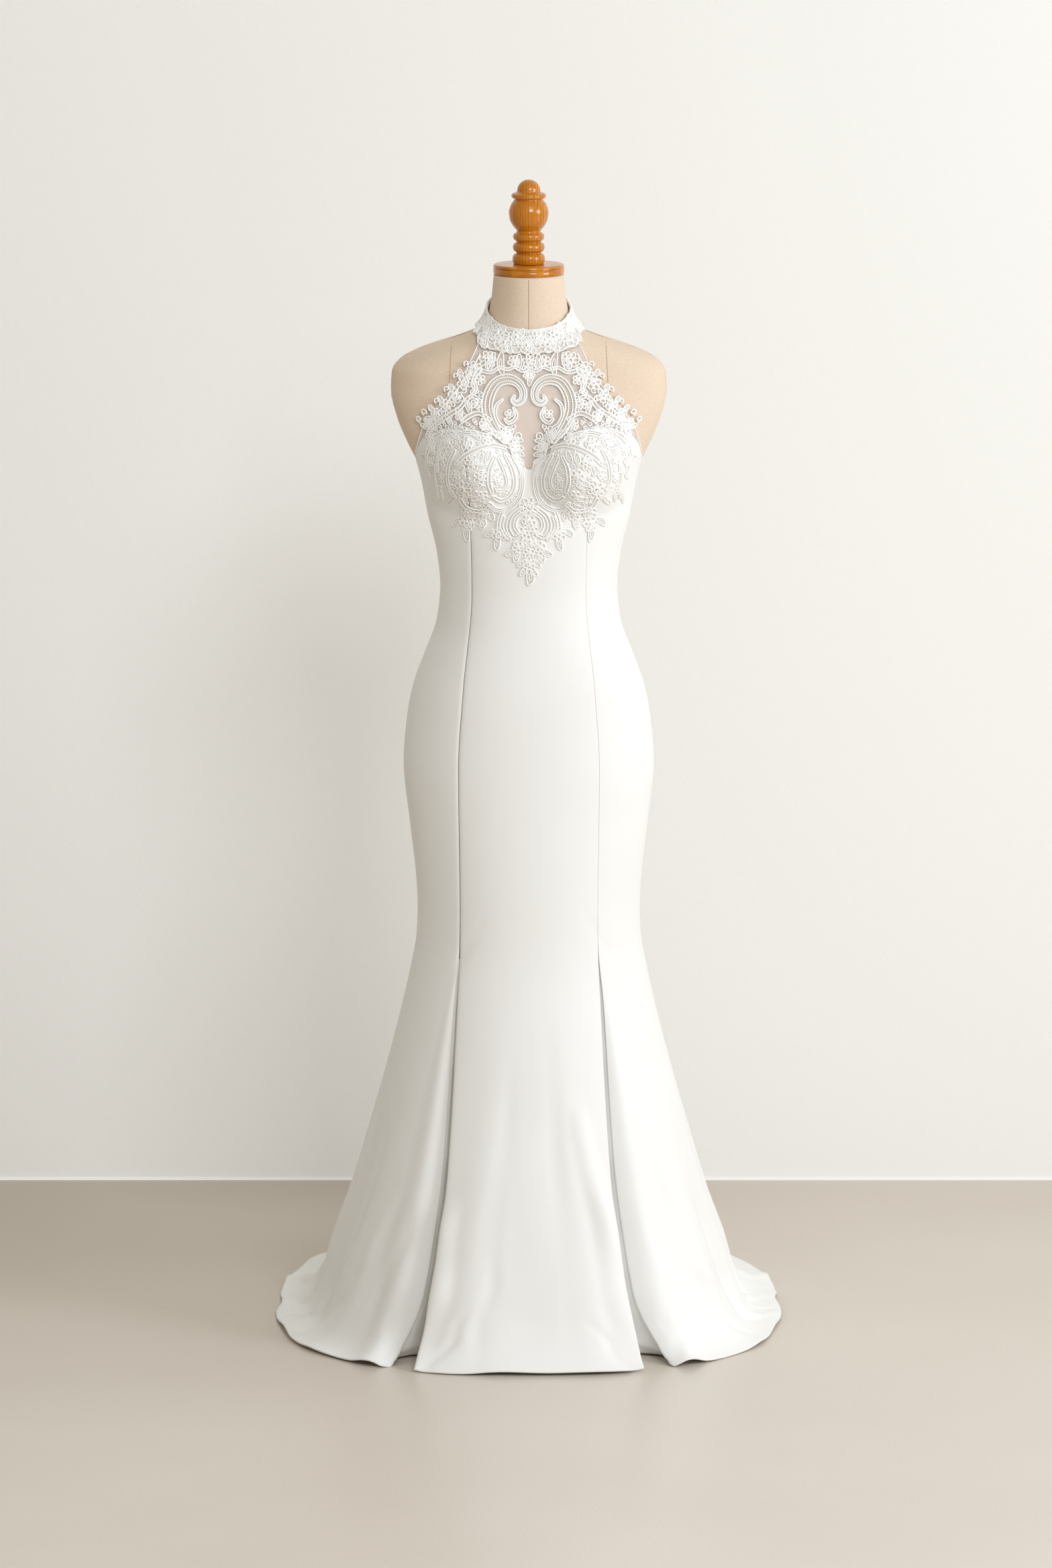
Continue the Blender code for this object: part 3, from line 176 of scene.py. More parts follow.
# The halter's yoke: share of the way up, and half width as seen from the front.
Width = namedtuple("Width", "share half_width")
YOKE_WIDTHS = (
    Width(0.00, 0.1490),
    Width(0.25, 0.1400),
    Width(0.50, 0.1120),
    Width(0.75, 0.0870),
    Width(1.00, 0.0690),
)

# The collar, at the front, the sides and the back: angle, height of its lower and of its upper edge.
Band = namedtuple("Band", "angle lower upper")
COLLAR = (
    Band(0.0, 1.3720, 1.4040),
    Band(25.0, 1.3745, 1.4070),
    Band(45.0, 1.3820, 1.4130),
    Band(60.0, 1.3950, 1.4190),
    Band(90.0, 1.4040, 1.4290),
    Band(135.0, 1.4100, 1.4440),
    Band(180.0, 1.4140, 1.4510),
)

# The lace, as seen laid out flat on one half: distance from the centre front along the cloth and height, in
# millimetres. Scrolls are tapering bands through points (distance, height, width).
SCROLLS = (
    ((20, 1317, 4), (22, 1311, 7), (16, 1307, 9), (9, 1312, 10), (8, 1323, 11), (15, 1334, 12), (28, 1339, 14),
     (43, 1335, 15), (53, 1321, 16), (57, 1302, 16), (53, 1285, 15), (45, 1270, 12), (36, 1258, 8)),
    ((36, 1312, 4), (44, 1304, 5), (46, 1291, 5), (41, 1280, 5), (34, 1275, 5)),
    ((21, 1301, 4), (17, 1293, 5), (20, 1285, 5), (28, 1281, 5), (33, 1286, 4)),
    ((0, 1354, 5), (9, 1350, 5), (19, 1355, 5), (29, 1352, 5), (40, 1354, 5), (52, 1348, 5), (64, 1350, 6)),
    ((66, 1372, 4), (75, 1356, 4), (88, 1337, 4), (102, 1319, 4), (116, 1303, 4), (133, 1290, 4),
     (151, 1276, 4)),
    ((66, 1352, 6), (74, 1342, 5), (76, 1330, 5), (70, 1322, 5)),
    ((66, 1310, 5), (76, 1316, 6), (84, 1312, 6), (94, 1300, 6), (110, 1291, 6), (128, 1281, 6),
     (150, 1268, 6)),
    ((54, 1286, 5), (68, 1294, 6), (80, 1291, 6), (92, 1284, 6)),
    ((76, 1338, 5), (72, 1326, 5), (80, 1314, 5)),
    ((24, 1238, 5), (12, 1218, 6), (9, 1198, 7), (14, 1178, 7), (28, 1165, 7), (44, 1163, 7), (55, 1173, 6)),
    ((36, 1240, 5), (25, 1218, 6), (21, 1199, 6), (26, 1184, 6), (38, 1177, 6), (49, 1182, 5)),
    ((46, 1236, 5), (37, 1216, 5), (33, 1202, 5), (38, 1192, 5), (47, 1192, 5)),
    ((36, 1250, 5), (54, 1254, 6), (74, 1250, 6), (94, 1240, 6), (108, 1228, 5)),
    ((60, 1266, 6), (84, 1270, 7), (108, 1264, 7), (128, 1252, 7), (142, 1234, 6), (146, 1214, 5)),
    ((126, 1268, 5), (146, 1258, 6), (164, 1240, 6), (172, 1220, 5), (168, 1204, 4)),
    ((52, 1238, 5), (60, 1222, 6), (60, 1204, 6), (54, 1190, 5)),
    ((108, 1246, 5), (120, 1228, 6), (124, 1208, 6), (116, 1190, 5), (104, 1180, 5)),
    ((52, 1172, 5), (62, 1162, 6), (76, 1162, 6), (88, 1168, 6), (96, 1178, 6)),
    ((150, 1222, 5), (152, 1206, 5), (146, 1190, 5), (142, 1176, 5)),
    ((10, 1166, 5), (24, 1154, 6), (28, 1138, 6), (21, 1125, 6), (11, 1129, 5)),
    ((34, 1164, 5), (40, 1150, 5), (42, 1134, 5)),
    ((4, 1160, 5), (16, 1152, 5), (19, 1140, 5), (14, 1131, 5)),
    ((34, 1152, 5), (37, 1140, 5), (32, 1128, 5), (26, 1122, 5)),
)
# Flowers: distance, height, radius and the number of petals.
FLOWERS = (
    (0, 1363, 9, 6), (21, 1363, 8, 5), (56, 1364, 12, 7), (74, 1352, 10, 5), (88, 1334, 10, 5),
    (101, 1316, 10, 5), (114, 1302, 9, 5), (129, 1290, 9, 5), (147, 1277, 8, 5), (72, 1306, 7, 5),
    (34, 1263, 9, 5), (3, 1344, 5, 5), (27, 1293, 6, 4), (62, 1281, 7, 5), (94, 1291, 8, 5),
    (84, 1232, 10, 6), (72, 1212, 10, 6), (97, 1192, 14, 8), (66, 1184, 8, 5), (86, 1157, 9, 5),
    (86, 1141, 11, 6), (110, 1212, 8, 5), (134, 1232, 9, 5), (60, 1262, 8, 5), (90, 1256, 9, 5),
    (118, 1256, 9, 5), (154, 1244, 9, 5), (164, 1226, 8, 5), (138, 1206, 8, 5), (143, 1188, 8, 5),
    (46, 1206, 6, 5), (0, 1166, 14, 8), (0, 1146, 10, 6), (7, 1132, 8, 5), (41, 1128, 10, 6),
    (62, 1156, 9, 5), (0, 1118, 10, 6), (15, 1111, 8, 5), (0, 1103, 8, 5), (0, 1088, 9, 6),
    (20, 1250, 7, 5), (152, 1260, 8, 5), (80, 1345, 7, 5), (66, 1338, 7, 5), (30, 1268, 9, 6),
)
# Leaves: where the stem is, length, width, and the way they point in degrees, 0 outwards and -90 down.
LEAVES = (
    (37, 1374, 30, 9, -93), (13, 1372, 22, 8, -85), (47, 1374, 26, 8, -75), (0, 1350, 20, 7, -90),
    (30, 1256, 22, 7, 176), (28, 1249, 21, 7, 186), (26, 1243, 20, 7, 196), (23, 1236, 18, 6, 208),
    (18, 1230, 15, 6, 220), (40, 1264, 18, 7, 35),
    (52, 1270, 18, 8, 25), (86, 1310, 18, 7, 250), (100, 1300, 17, 7, 245), (116, 1290, 16, 7, 240),
    (134, 1280, 18, 8, 10), (150, 1272, 12, 7, 15), (105, 1323, 9, 7, 70), (91, 1343, 9, 7, 65),
    (119, 1307, 9, 7, 60), (133, 1295, 9, 7, 55), (58, 1246, 16, 7, -60), (70, 1244, 16, 7, -70),
    (96, 1226, 16, 7, -50), (104, 1232, 18, 7, -30), (84, 1196, 15, 7, 160), (80, 1180, 15, 7, 175),
    (108, 1180, 16, 7, -45), (112, 1196, 16, 7, -15), (128, 1216, 16, 7, -40), (152, 1232, 18, 7, -30),
    (170, 1232, 16, 7, -10), (158, 1212, 16, 7, -45), (136, 1186, 16, 7, -110), (146, 1182, 17, 7, -80),
    (78, 1148, 19, 8, -150), (94, 1148, 19, 8, -35), (86, 1136, 20, 9, -90), (76, 1162, 15, 8, -60),
    (41, 1124, 18, 8, -80), (34, 1132, 15, 7, -130), (48, 1134, 15, 7, -35), (54, 1162, 16, 8, -110),
    (62, 1150, 16, 8, -75), (5, 1122, 13, 6, -70), (18, 1106, 15, 8, -25), (14, 1104, 15, 8, -70),
    (5, 1100, 14, 7, -20), (4, 1092, 14, 7, -35), (4, 1082, 13, 7, -55), (0, 1080, 22, 10, -90),
    (70, 1262, 15, 7, 40), (100, 1262, 15, 7, 30), (124, 1246, 15, 7, -10), (140, 1246, 16, 7, 20),
)
# Curls: distance, height, radius, turns, where the outer end is in degrees, and the way it winds.
CURLS = (
    (160, 1283, 5.0, 1.2, -90, 1), (147, 1293, 5.0, 1.2, -60, 1), (126, 1309, 4.2, 1.1, -70, 1),
    (112, 1325, 4.2, 1.1, -60, 1), (99, 1343, 4.0, 1.1, -60, 1), (85, 1359, 4.0, 1.1, -60, 1),
    (14, 1263, 6.5, 1.4, -60, 1), (22, 1276, 4.0, 1.1, 120, 1), (6, 1354, 3.6, 1.1, 90, -1),
    (19, 1296, 3.6, 1.1, 180, 1),
    (66, 1298, 4.6, 1.3, 0, 1), (80, 1304, 4.4, 1.2, 90, -1), (92, 1312, 4.6, 1.2, 45, 1),
    (76, 1322, 4.8, 1.3, 180, 1), (88, 1324, 4.2, 1.2, -30, -1), (66, 1318, 4.0, 1.2, 90, 1),
    (104, 1304, 4.2, 1.2, 20, 1), (118, 1294, 4.2, 1.2, 0, -1), (136, 1284, 4.0, 1.2, 90, 1),
)
# The ground that the motifs of a cup share, as an outline.
GROUND = (
    (7, 1225), (5, 1196), (10, 1178), (20, 1166), (34, 1160), (50, 1160), (60, 1166), (70, 1162), (84, 1166),
    (94, 1176), (104, 1180), (116, 1190), (124, 1202), (134, 1198), (140, 1184), (148, 1187), (153, 1204),
    (160, 1210), (167, 1206), (175, 1222), (172, 1238), (162, 1250), (158, 1262), (150, 1275), (100, 1290),
    (60, 1278), (24, 1248),
)

# Bust cups: centre from the middle, centre height, reach sideways, upwards and downwards, and fullness
CUP_X = 0.0800
CUP_Z = 1.2180
CUP_SIDE = 0.0780
CUP_UP = 0.0960
CUP_DOWN = 0.0720
CUP_FULLNESS = 0.0370


def curve_through(rows, column):
    """A smooth curve through one column of a table, with no overshoot between its rows."""
    table = sorted((row[0], row[column]) for row in rows)
    at = np.array([a for a, _ in table])
    value = np.array([v for _, v in table])
    step = np.diff(at)
    slope = np.diff(value) / step
    tangent = np.zeros(len(at))
    same_way = slope[:-1] * slope[1:] > 0
    before, after = slope[:-1][same_way], slope[1:][same_way]
    tangent[1:-1][same_way] = 2 * before * after / (before + after)
    tangent[0], tangent[-1] = slope[0], slope[-1]

    def curve(where):
        x = np.clip(where, at[0], at[-1])
        i = np.clip(np.searchsorted(at, x, side="right") - 1, 0, len(at) - 2)
        h = step[i]
        t = (x - at[i]) / h
        rise = t * t * (3 - 2 * t)
        return (
            value[i] * (1 - rise)
            + value[i + 1] * rise
            + h * tangent[i] * t * (1 - t) ** 2
            - h * tangent[i + 1] * t * t * (1 - t)
        )

    return curve


RING_CURVES = [curve_through(RINGS, column) for column in range(1, 6)]
LANDING_CURVES = [curve_through(LANDINGS, column) for column in range(1, 4)]
SEAM_X = curve_through(PRINCESS, 1)
GODET_WIDTH = curve_through(PRINCESS, 2)
TOP_CURVE = curve_through(TOP_EDGE, 1)
YOKE_CURVE = curve_through(YOKE_WIDTHS, 1)
COLLAR_LOWER = curve_through(COLLAR, 1)
COLLAR_UPPER = curve_through(COLLAR, 2)


def bell(distance, reach):
    """1 at no distance, falling smoothly to 0 at reach."""
    share = np.clip(1 - (distance / reach) ** 2, 0, 1)
    return share * share


def fold_depth(angle, level):
    """How far the folds of the skirt push the cloth inwards."""
    degrees = np.abs(np.degrees(angle))
    depth = np.zeros(np.broadcast(angle, level).shape)
    for fold in FOLDS:
        down = np.clip((fold.begins - level) / fold.begins, 0, 1)
        depth = depth + fold.depth * down**1.5 * bell(degrees - fold.angle, fold.half_width)
    return depth * (1 - 0.7 * np.clip(1 - np.asarray(level) / 0.07, 0, 1) ** 1.5)


def cup_push(x, z):
    """How far the bust cups carry the cloth forwards."""
    reach = np.where(z > CUP_Z, CUP_UP, CUP_DOWN)
    away = ((np.abs(x) - CUP_X) / CUP_SIDE) ** 2 + ((z - CUP_Z) / reach) ** 2
    return CUP_FULLNESS * np.clip(1 - away, 0, 1) ** 1.6


def skin(angle, level):
    """Points on the outside of the dress, at angles from the centre front and levels of the rings."""
    angle, level = np.broadcast_arrays(np.asarray(angle, float), np.asarray(level, float))
    half_width, front, back, centre, square = (curve(level) for curve in RING_CURVES)
    side, ahead = np.sin(angle), np.cos(angle)
    depth = np.where(ahead > 0, front, back)
    radius = ((np.abs(side) / half_width) ** square + (np.abs(ahead) / depth) ** square) ** (-1 / square)
    radius = radius - fold_depth(angle, level)
    in_front, at_side, behind = (curve(level) for curve in LANDING_CURVES)
    to_front = np.clip(ahead, 0, 1) ** 1.5
    to_back = np.clip(-ahead, 0, 1) ** 1.5
    landed = at_side + (in_front - at_side) * to_front + (behind - at_side) * to_back
    z = np.where(level >= LANDINGS[0].level, level, landed)
    x = radius * side
    y = centre - radius * ahead - cup_push(x, z) * (ahead > 0)
    return np.stack([x, y, z], axis=-1)


def skin_normal(angle, level):
    """The outward direction of the skin there."""
    turn, rise = 1e-3, 5e-4
    across = skin(angle + turn, level) - skin(angle - turn, level)
    up = skin(angle, np.asarray(level) + rise) - skin(angle, np.maximum(np.asarray(level) - rise, 0))
    out = np.cross(across, up)
    return out / np.linalg.norm(out, axis=-1, keepdims=True)


def angle_at(x, level):
    """The angle from the centre front where the front of the ring is x from the middle."""
    half_width, front, _, _, square = (curve(level) for curve in RING_CURVES)
    share = np.clip(np.abs(x) / half_width, 0, 0.9999)
    return np.sign(x) * np.arctan2(np.abs(x), front * (1 - share**square) ** (1 / square))


def along_rings(level):
    """Distances from the centre front along the ring of each level, at the angles in STEPS."""
    points = skin(STEPS[None, :], np.asarray(level, float)[:, None])
    steps = np.linalg.norm(np.diff(points, axis=1), axis=-1)
    return np.concatenate([np.zeros((len(points), 1)), np.cumsum(steps, axis=1)], axis=1)


def distance_along(angle, level):
    """The distances along the cloth from the centre front to these angles."""
    lengths = along_rings(level)
    found = [np.interp(abs(a), STEPS, row) for a, row in zip(angle, lengths)]
    return np.sign(angle) * np.array(found)


def seam_angle(level, outer):
    """The angle of the front princess seam: its edge on the centre panel or on the side panel."""
    x = SEAM_X(level) + (GODET_WIDTH(level) if outer else 0.0)
    return angle_at(x, level)


STEPS = np.radians(np.linspace(0.0, 112.0, 113))        # where lengths along a ring are measured
SIDE_ANGLE = np.radians(90.0)
BACK_ANGLE = np.radians(142.0)
REAR_ANGLE = np.radians(180.0)
GAP_ANGLE = SEAM_GAP / 2 / 0.15         # half a seam's gap, on a mean radius of 0.15 m


# Rows of every dress panel: shares of the way from its upper edge to the waist, then levels to the hem
BODICE_SHARES = np.linspace(0, 1, 43)[:-1]
SKIRT_LEVELS = np.concatenate([np.linspace(WAIST, 0.104, 118), 0.1 * (np.linspace(1, 0, 26) ** 1.25)])


def panel_grid(left_angle, right_angle, share):
    """Angles and levels of a panel's points between two seams, each a function of level."""
    level = np.full(len(share), 1.2)
    for _ in range(12):
        angle = left_angle(level) * (1 - share) + right_angle(level) * share
        level = TOP_CURVE(np.abs(np.degrees(angle)))
    top = level
    angles, levels = [], []
    for down in BODICE_SHARES:
        levels.append(top + (WAIST - top) * down)
    levels += [np.full(len(share), level) for level in SKIRT_LEVELS]
    for level in levels:
        angles.append(left_angle(level) * (1 - share) + right_angle(level) * share)
    return np.array(angles), np.array(levels)


def inner_edge(level):
    """The edge of the centre front panel at its princess seam."""
    return seam_angle(level, False) - GAP_ANGLE


def outer_edge(level):
    """The edge of a side front panel at its princess seam."""
    return seam_angle(level, True) + GAP_ANGLE


def fixed(angle):
    """A seam that keeps one angle at every level."""
    return lambda level: np.full(np.shape(level), angle)


# The inset godets: level, and how far the fold goes in between the two panels
Godet = namedtuple("Godet", "level depth")
GODET = (
    Godet(0.540, 0.000),
    Godet(0.500, 0.006),
    Godet(0.465, 0.014),
    Godet(0.430, 0.020),
    Godet(0.350, 0.031),
    Godet(0.260, 0.042),
    Godet(0.180, 0.048),
    Godet(0.115, 0.052),
    Godet(0.075, 0.054),
    Godet(0.050, 0.055),
    Godet(0.030, 0.055),
)
GODET_SHARES = np.linspace(0, 1, 21)
GODET_LAP = 0.0060      # the part of a godet behind each panel's edge
GODET_CLEAR = 0.0014    # between a godet and the panel before it


# How a side front panel turns in beside its godet: the level where that begins, how far down it is full, how
# deep the turned edge and how high the soft roll beside it are, and the reach of the turn at its top and below
TURN_BEGINS, TURN_FULL_AFTER = 0.50, 0.36
TURN_DEPTH, ROLL_HEIGHT = 0.0170, 0.0050
TURN_REACH, TURN_SPREAD = 0.004, 0.030


def edge_turn(level, away):
    """How far a side front panel turns in beside its godet, at a distance from its edge."""
    down = np.clip((TURN_BEGINS - level) / TURN_FULL_AFTER, 0, 1)
    reach = TURN_REACH + TURN_SPREAD * down
    return down * (TURN_DEPTH * np.clip(1 - away / reach, 0, 1) ** 2
                   - ROLL_HEIGHT * bell(away - 1.25 * reach, reach))


# How far the hem corner of a side front panel is swept away from its godet on the left and on the
# right, how high up the sweep begins, and how far across the panel it reaches
CORNER_SWEEP = (0.026, 0.038)
SWEEP_HEIGHT, SWEEP_REACH = 0.095, 0.110


def corner_sweep(level, which):
    """How far the edge of a side front panel lies outside its seam near the hem."""
    return CORNER_SWEEP[int(which > 0)] * np.clip(1 - level / SWEEP_HEIGHT, 0, 1) ** 1.5


def godet_path(level, depth, sweep):
    """The cloth of a godet at one level: behind the edge of one panel, inwards, and out to the other."""
    near, far = float(seam_angle(level, False)), float(seam_angle(level, True))
    far += sweep / np.linalg.norm(skin(np.array([near, far]), level)[1][:2])
    edges = skin(np.array([near, far]), level)
    width = np.linalg.norm(edges[1] - edges[0])
    along = -GODET_LAP + (width + 2 * GODET_LAP) * GODET_SHARES
    share = np.clip(along / width, 0, 1)
    beyond = along - width * share
    angle = near + (far - near) * share + beyond / np.linalg.norm(edges[0][:2])
    points = skin(angle, level) - skin_normal(angle, level) * (CLOTH + GODET_CLEAR)
    middle = edges.mean(axis=0)
    inwards = np.array([-middle[0], -middle[1], 0.0]) / np.linalg.norm(middle[:2])
    turn = edge_turn(level, np.clip(beyond, 0, None)) * share**1.5
    points = points - skin_normal(angle, level) * turn[:, None]
    return points + inwards * (depth * np.sin(np.pi * share) ** 0.6)[:, None]


# Finishes

MIX_A, MIX_B, MIX_COLOUR = 6, 7, 2      # sockets of a Mix node that mixes colours


def colour_of(code):
    """A linear colour with alpha from an sRGB hex value."""
    parts = [int(code[i : i + 2], 16) / 255 for i in (1, 3, 5)]
    return tuple(c / 12.92 if c <= 0.04045 else ((c + 0.055) / 1.055) ** 2.4 for c in parts) + (1.0,)


def add_node(tree, kind, inputs=None, **settings):
    """Adds one node, with its settings, and the values or the outputs of other nodes on its sockets."""
    made = tree.nodes.new(kind)
    for name, value in settings.items():
        setattr(made, name, value)
    for socket, value in (inputs or {}).items():
        if isinstance(value, bpy.types.NodeSocket):
            tree.links.new(value, made.inputs[socket])
        else:
            made.inputs[socket].default_value = value
    return made


def new_finish(name):
    """A node material with only its shader and its output."""
    made = bpy.data.materials.new(name)
    made.use_nodes = True
    tree = made.node_tree
    tree.nodes.clear()
    shader = add_node(tree, "ShaderNodeBsdfPrincipled")
    output = add_node(tree, "ShaderNodeOutputMaterial", {"Surface": shader.outputs["BSDF"]})
    return made, tree, shader, output


def set_shader(tree, shader, **values):
    """Sets the shader's own sockets, or links them where a value is the output of another node."""
    for name, value in values.items():
        socket = shader.inputs[name.replace("_", " ")]
        if isinstance(value, bpy.types.NodeSocket):
            tree.links.new(value, socket)
        else:
            socket.default_value = value


def crepe_finish(colours):
    """Matt polyester crepe: no threads show, only a fine pebble in the light and a soft sheen at the edges."""
    made, tree, shader, _ = new_finish("polyester_crepe")
    place = add_node(tree, "ShaderNodeTexCoord").outputs["Object"]
    # real pebble about 0.5 mm, drawn at 1.3 mm so that it shows
    pebble = add_node(tree, "ShaderNodeTexNoise", {"Vector": place, "Scale": 1 / 0.0013, "Detail": 2.0})
    # slow drifts of the white, about 140 mm across
    drift = add_node(tree, "ShaderNodeTexNoise", {"Vector": place, "Scale": 7.0, "Detail": 2.0})
    rough = add_node(
        tree, "ShaderNodeMapRange", {"Value": pebble.outputs[0], "To Min": 0.52, "To Max": 0.72}
    )
    bump = add_node(
        tree, "ShaderNodeBump", {"Height": pebble.outputs[0], "Strength": 0.10, "Distance": 0.0004}
    )
    mix = add_node(
        tree, "ShaderNodeMix",
        {0: drift.outputs[0], MIX_A: (*colours.crepe_shade, 1), MIX_B: (*colours.crepe, 1)},
        data_type="RGBA",
    )
    set_shader(tree, shader, Base_Color=mix.outputs[MIX_COLOUR], Normal=bump.outputs[0],
               Roughness=rough.outputs[0], Sheen_Weight=0.18, Sheen_Roughness=0.45)
    return made


def cord_finish(colours):
    """Twisted viscose cord: a silky white with the slant of its twist."""
    made, tree, shader, _ = new_finish("viscose_cord")
    place = add_node(tree, "ShaderNodeTexCoord").outputs["Object"]
    # the real twist repeats every 0.6 mm, drawn at 1.1 mm so that it shows
    twist = add_node(tree, "ShaderNodeTexNoise", {"Vector": place, "Scale": 1 / 0.0011, "Detail": 1.0})
    bump = add_node(tree, "ShaderNodeBump", {"Height": twist.outputs[0], "Strength": 0.35, "Distance": 0.0005})
    mix = add_node(
        tree, "ShaderNodeMix",
        {0: twist.outputs[0], MIX_A: (*colours.lace_shade, 1), MIX_B: (*colours.lace, 1)},
        data_type="RGBA",
    )
    set_shader(tree, shader, Base_Color=mix.outputs[MIX_COLOUR], Normal=bump.outputs[0],
               Roughness=0.5, Sheen_Weight=0.15, Sheen_Roughness=0.4)
    return made


def stitch_and_painted_shade_finish(name, colours, hollow_shade):
    """Knotted stitches that fill the motifs: small white knots, with painted shade in the hollows between them.
    """
    made, tree, shader, _ = new_finish(name)
    flat = add_node(tree, "ShaderNodeUVMap", uv_map="UVMap").outputs["UV"]
    # knots of 0.8 mm, drawn at 1.7 mm so that they show; the UV map is in metres
    knots = add_node(
        tree, "ShaderNodeTexVoronoi", {"Vector": flat, "Scale": 1 / 0.0017, "Randomness": 0.8},
        feature="F1", voronoi_dimensions="2D",
    )
    height = add_node(
        tree, "ShaderNodeMapRange", {"Value": knots.outputs["Distance"], "From Min": 0.25, "From Max": 0.7,
                                     "To Min": 1.0, "To Max": 0.0}, interpolation_type="SMOOTHSTEP",
    )
    bump = add_node(tree, "ShaderNodeBump", {"Height": height.outputs[0], "Strength": 0.45, "Distance": 0.0006})
    # painted shade: the hollow colour darkens the stitches between the knots
    mix = add_node(
        tree, "ShaderNodeMix",
        {0: height.outputs[0], MIX_A: (*hollow_shade, 1), MIX_B: (*colours.lace, 1)},
        data_type="RGBA",
    )
    set_shader(tree, shader, Base_Color=mix.outputs[MIX_COLOUR], Normal=bump.outputs[0],
               Roughness=0.7, Sheen_Weight=0.15, Sheen_Roughness=0.5)
    return made


def net_finish(colours):
    """Illusion tulle: six-sided holes, nearly clear, which lightens what is under it."""
    made, tree, shader, _ = new_finish("illusion_tulle")
    flat = add_node(tree, "ShaderNodeUVMap", uv_map="UVMap").outputs["UV"]
    # real holes about 1 mm, drawn at 2 mm so that they show
    holes = add_node(
        tree, "ShaderNodeTexVoronoi", {"Vector": flat, "Scale": 1 / 0.0020, "Randomness": 0.25},
        feature="DISTANCE_TO_EDGE", voronoi_dimensions="2D",
    )
    threads = add_node(
        tree, "ShaderNodeMapRange",
        {"Value": holes.outputs["Distance"], "From Min": 0.03, "From Max": 0.11,
         "To Min": 0.50, "To Max": 0.27},
    )
    set_shader(tree, shader, Base_Color=(*colours.net, 1), Alpha=threads.outputs[0],
               Roughness=0.7, Sheen_Weight=0.2)
    return made


def linen_finish(colours):
    """Natural linen over padding: a plain weave with thicker threads here and there, quite dull."""
    made, tree, shader, _ = new_finish("woven_linen")
    flat = add_node(tree, "ShaderNodeUVMap", uv_map="UVMap").outputs["UV"]
    place = add_node(tree, "ShaderNodeTexCoord").outputs["Object"]
    # threads every 0.7 mm, drawn at 2.8 mm so that the weave shows: a wave repeats every pi / 10 / Scale
    across = add_node(
        tree, "ShaderNodeTexWave", {"Vector": flat, "Scale": 0.5 / 0.0014 / math.pi, "Distortion": 0.8},
        wave_type="BANDS", bands_direction="X",
    )
    down = add_node(
        tree, "ShaderNodeTexWave", {"Vector": flat, "Scale": 0.5 / 0.0014 / math.pi, "Distortion": 0.8},
        wave_type="BANDS", bands_direction="Y",
    )
    weave = add_node(tree, "ShaderNodeMath", {0: across.outputs[1], 1: down.outputs[1]}, operation="MULTIPLY")
    slub_place = add_node(tree, "ShaderNodeMapping", {"Vector": flat, "Scale": (60.0, 900.0, 1.0)})
    slubs = add_node(tree, "ShaderNodeTexNoise", {"Vector": slub_place.outputs[0], "Scale": 1.0, "Detail": 2.0})
    fleck = add_node(tree, "ShaderNodeTexNoise", {"Vector": place, "Scale": 1 / 0.0016, "Detail": 3.0})
    uneven = add_node(tree, "ShaderNodeMath", {0: slubs.outputs[0], 1: fleck.outputs[0]}, operation="ADD")
    pattern = add_node(
        tree, "ShaderNodeMapRange", {"Value": uneven.outputs[0], "From Min": 0.65, "From Max": 1.35}
    )
    bump = add_node(tree, "ShaderNodeBump", {"Height": weave.outputs[0], "Strength": 0.35, "Distance": 0.0004})
    mix = add_node(
        tree, "ShaderNodeMix",
        {0: pattern.outputs[0], MIX_A: (*colours.linen_shade, 1), MIX_B: (*colours.linen, 1)},
        data_type="RGBA",
    )
    set_shader(tree, shader, Base_Color=mix.outputs[MIX_COLOUR], Normal=bump.outputs[0],
               Roughness=0.88, Sheen_Weight=0.1)
    return made


def seam_and_painted_shade_finish(colours):
    """The linen's sewn seams: the same thread, with painted shade where the cloth turns in."""
    made, tree, shader, _ = new_finish("linen_seam_painted_shade")
    place = add_node(tree, "ShaderNodeTexCoord").outputs["Object"]
    # flecks of 1.2 mm
    fleck = add_node(tree, "ShaderNodeTexNoise", {"Vector": place, "Scale": 1 / 0.0012, "Detail": 2.0})
    # painted shade: the seam is darker than the linen, in flecks
    mix = add_node(
        tree, "ShaderNodeMix",
        {0: fleck.outputs[0], MIX_A: colour_of("#8F7656"), MIX_B: (*colours.linen_shade, 1)},
        data_type="RGBA",
    )
    set_shader(tree, shader, Base_Color=mix.outputs[MIX_COLOUR], Roughness=0.9)
    return made


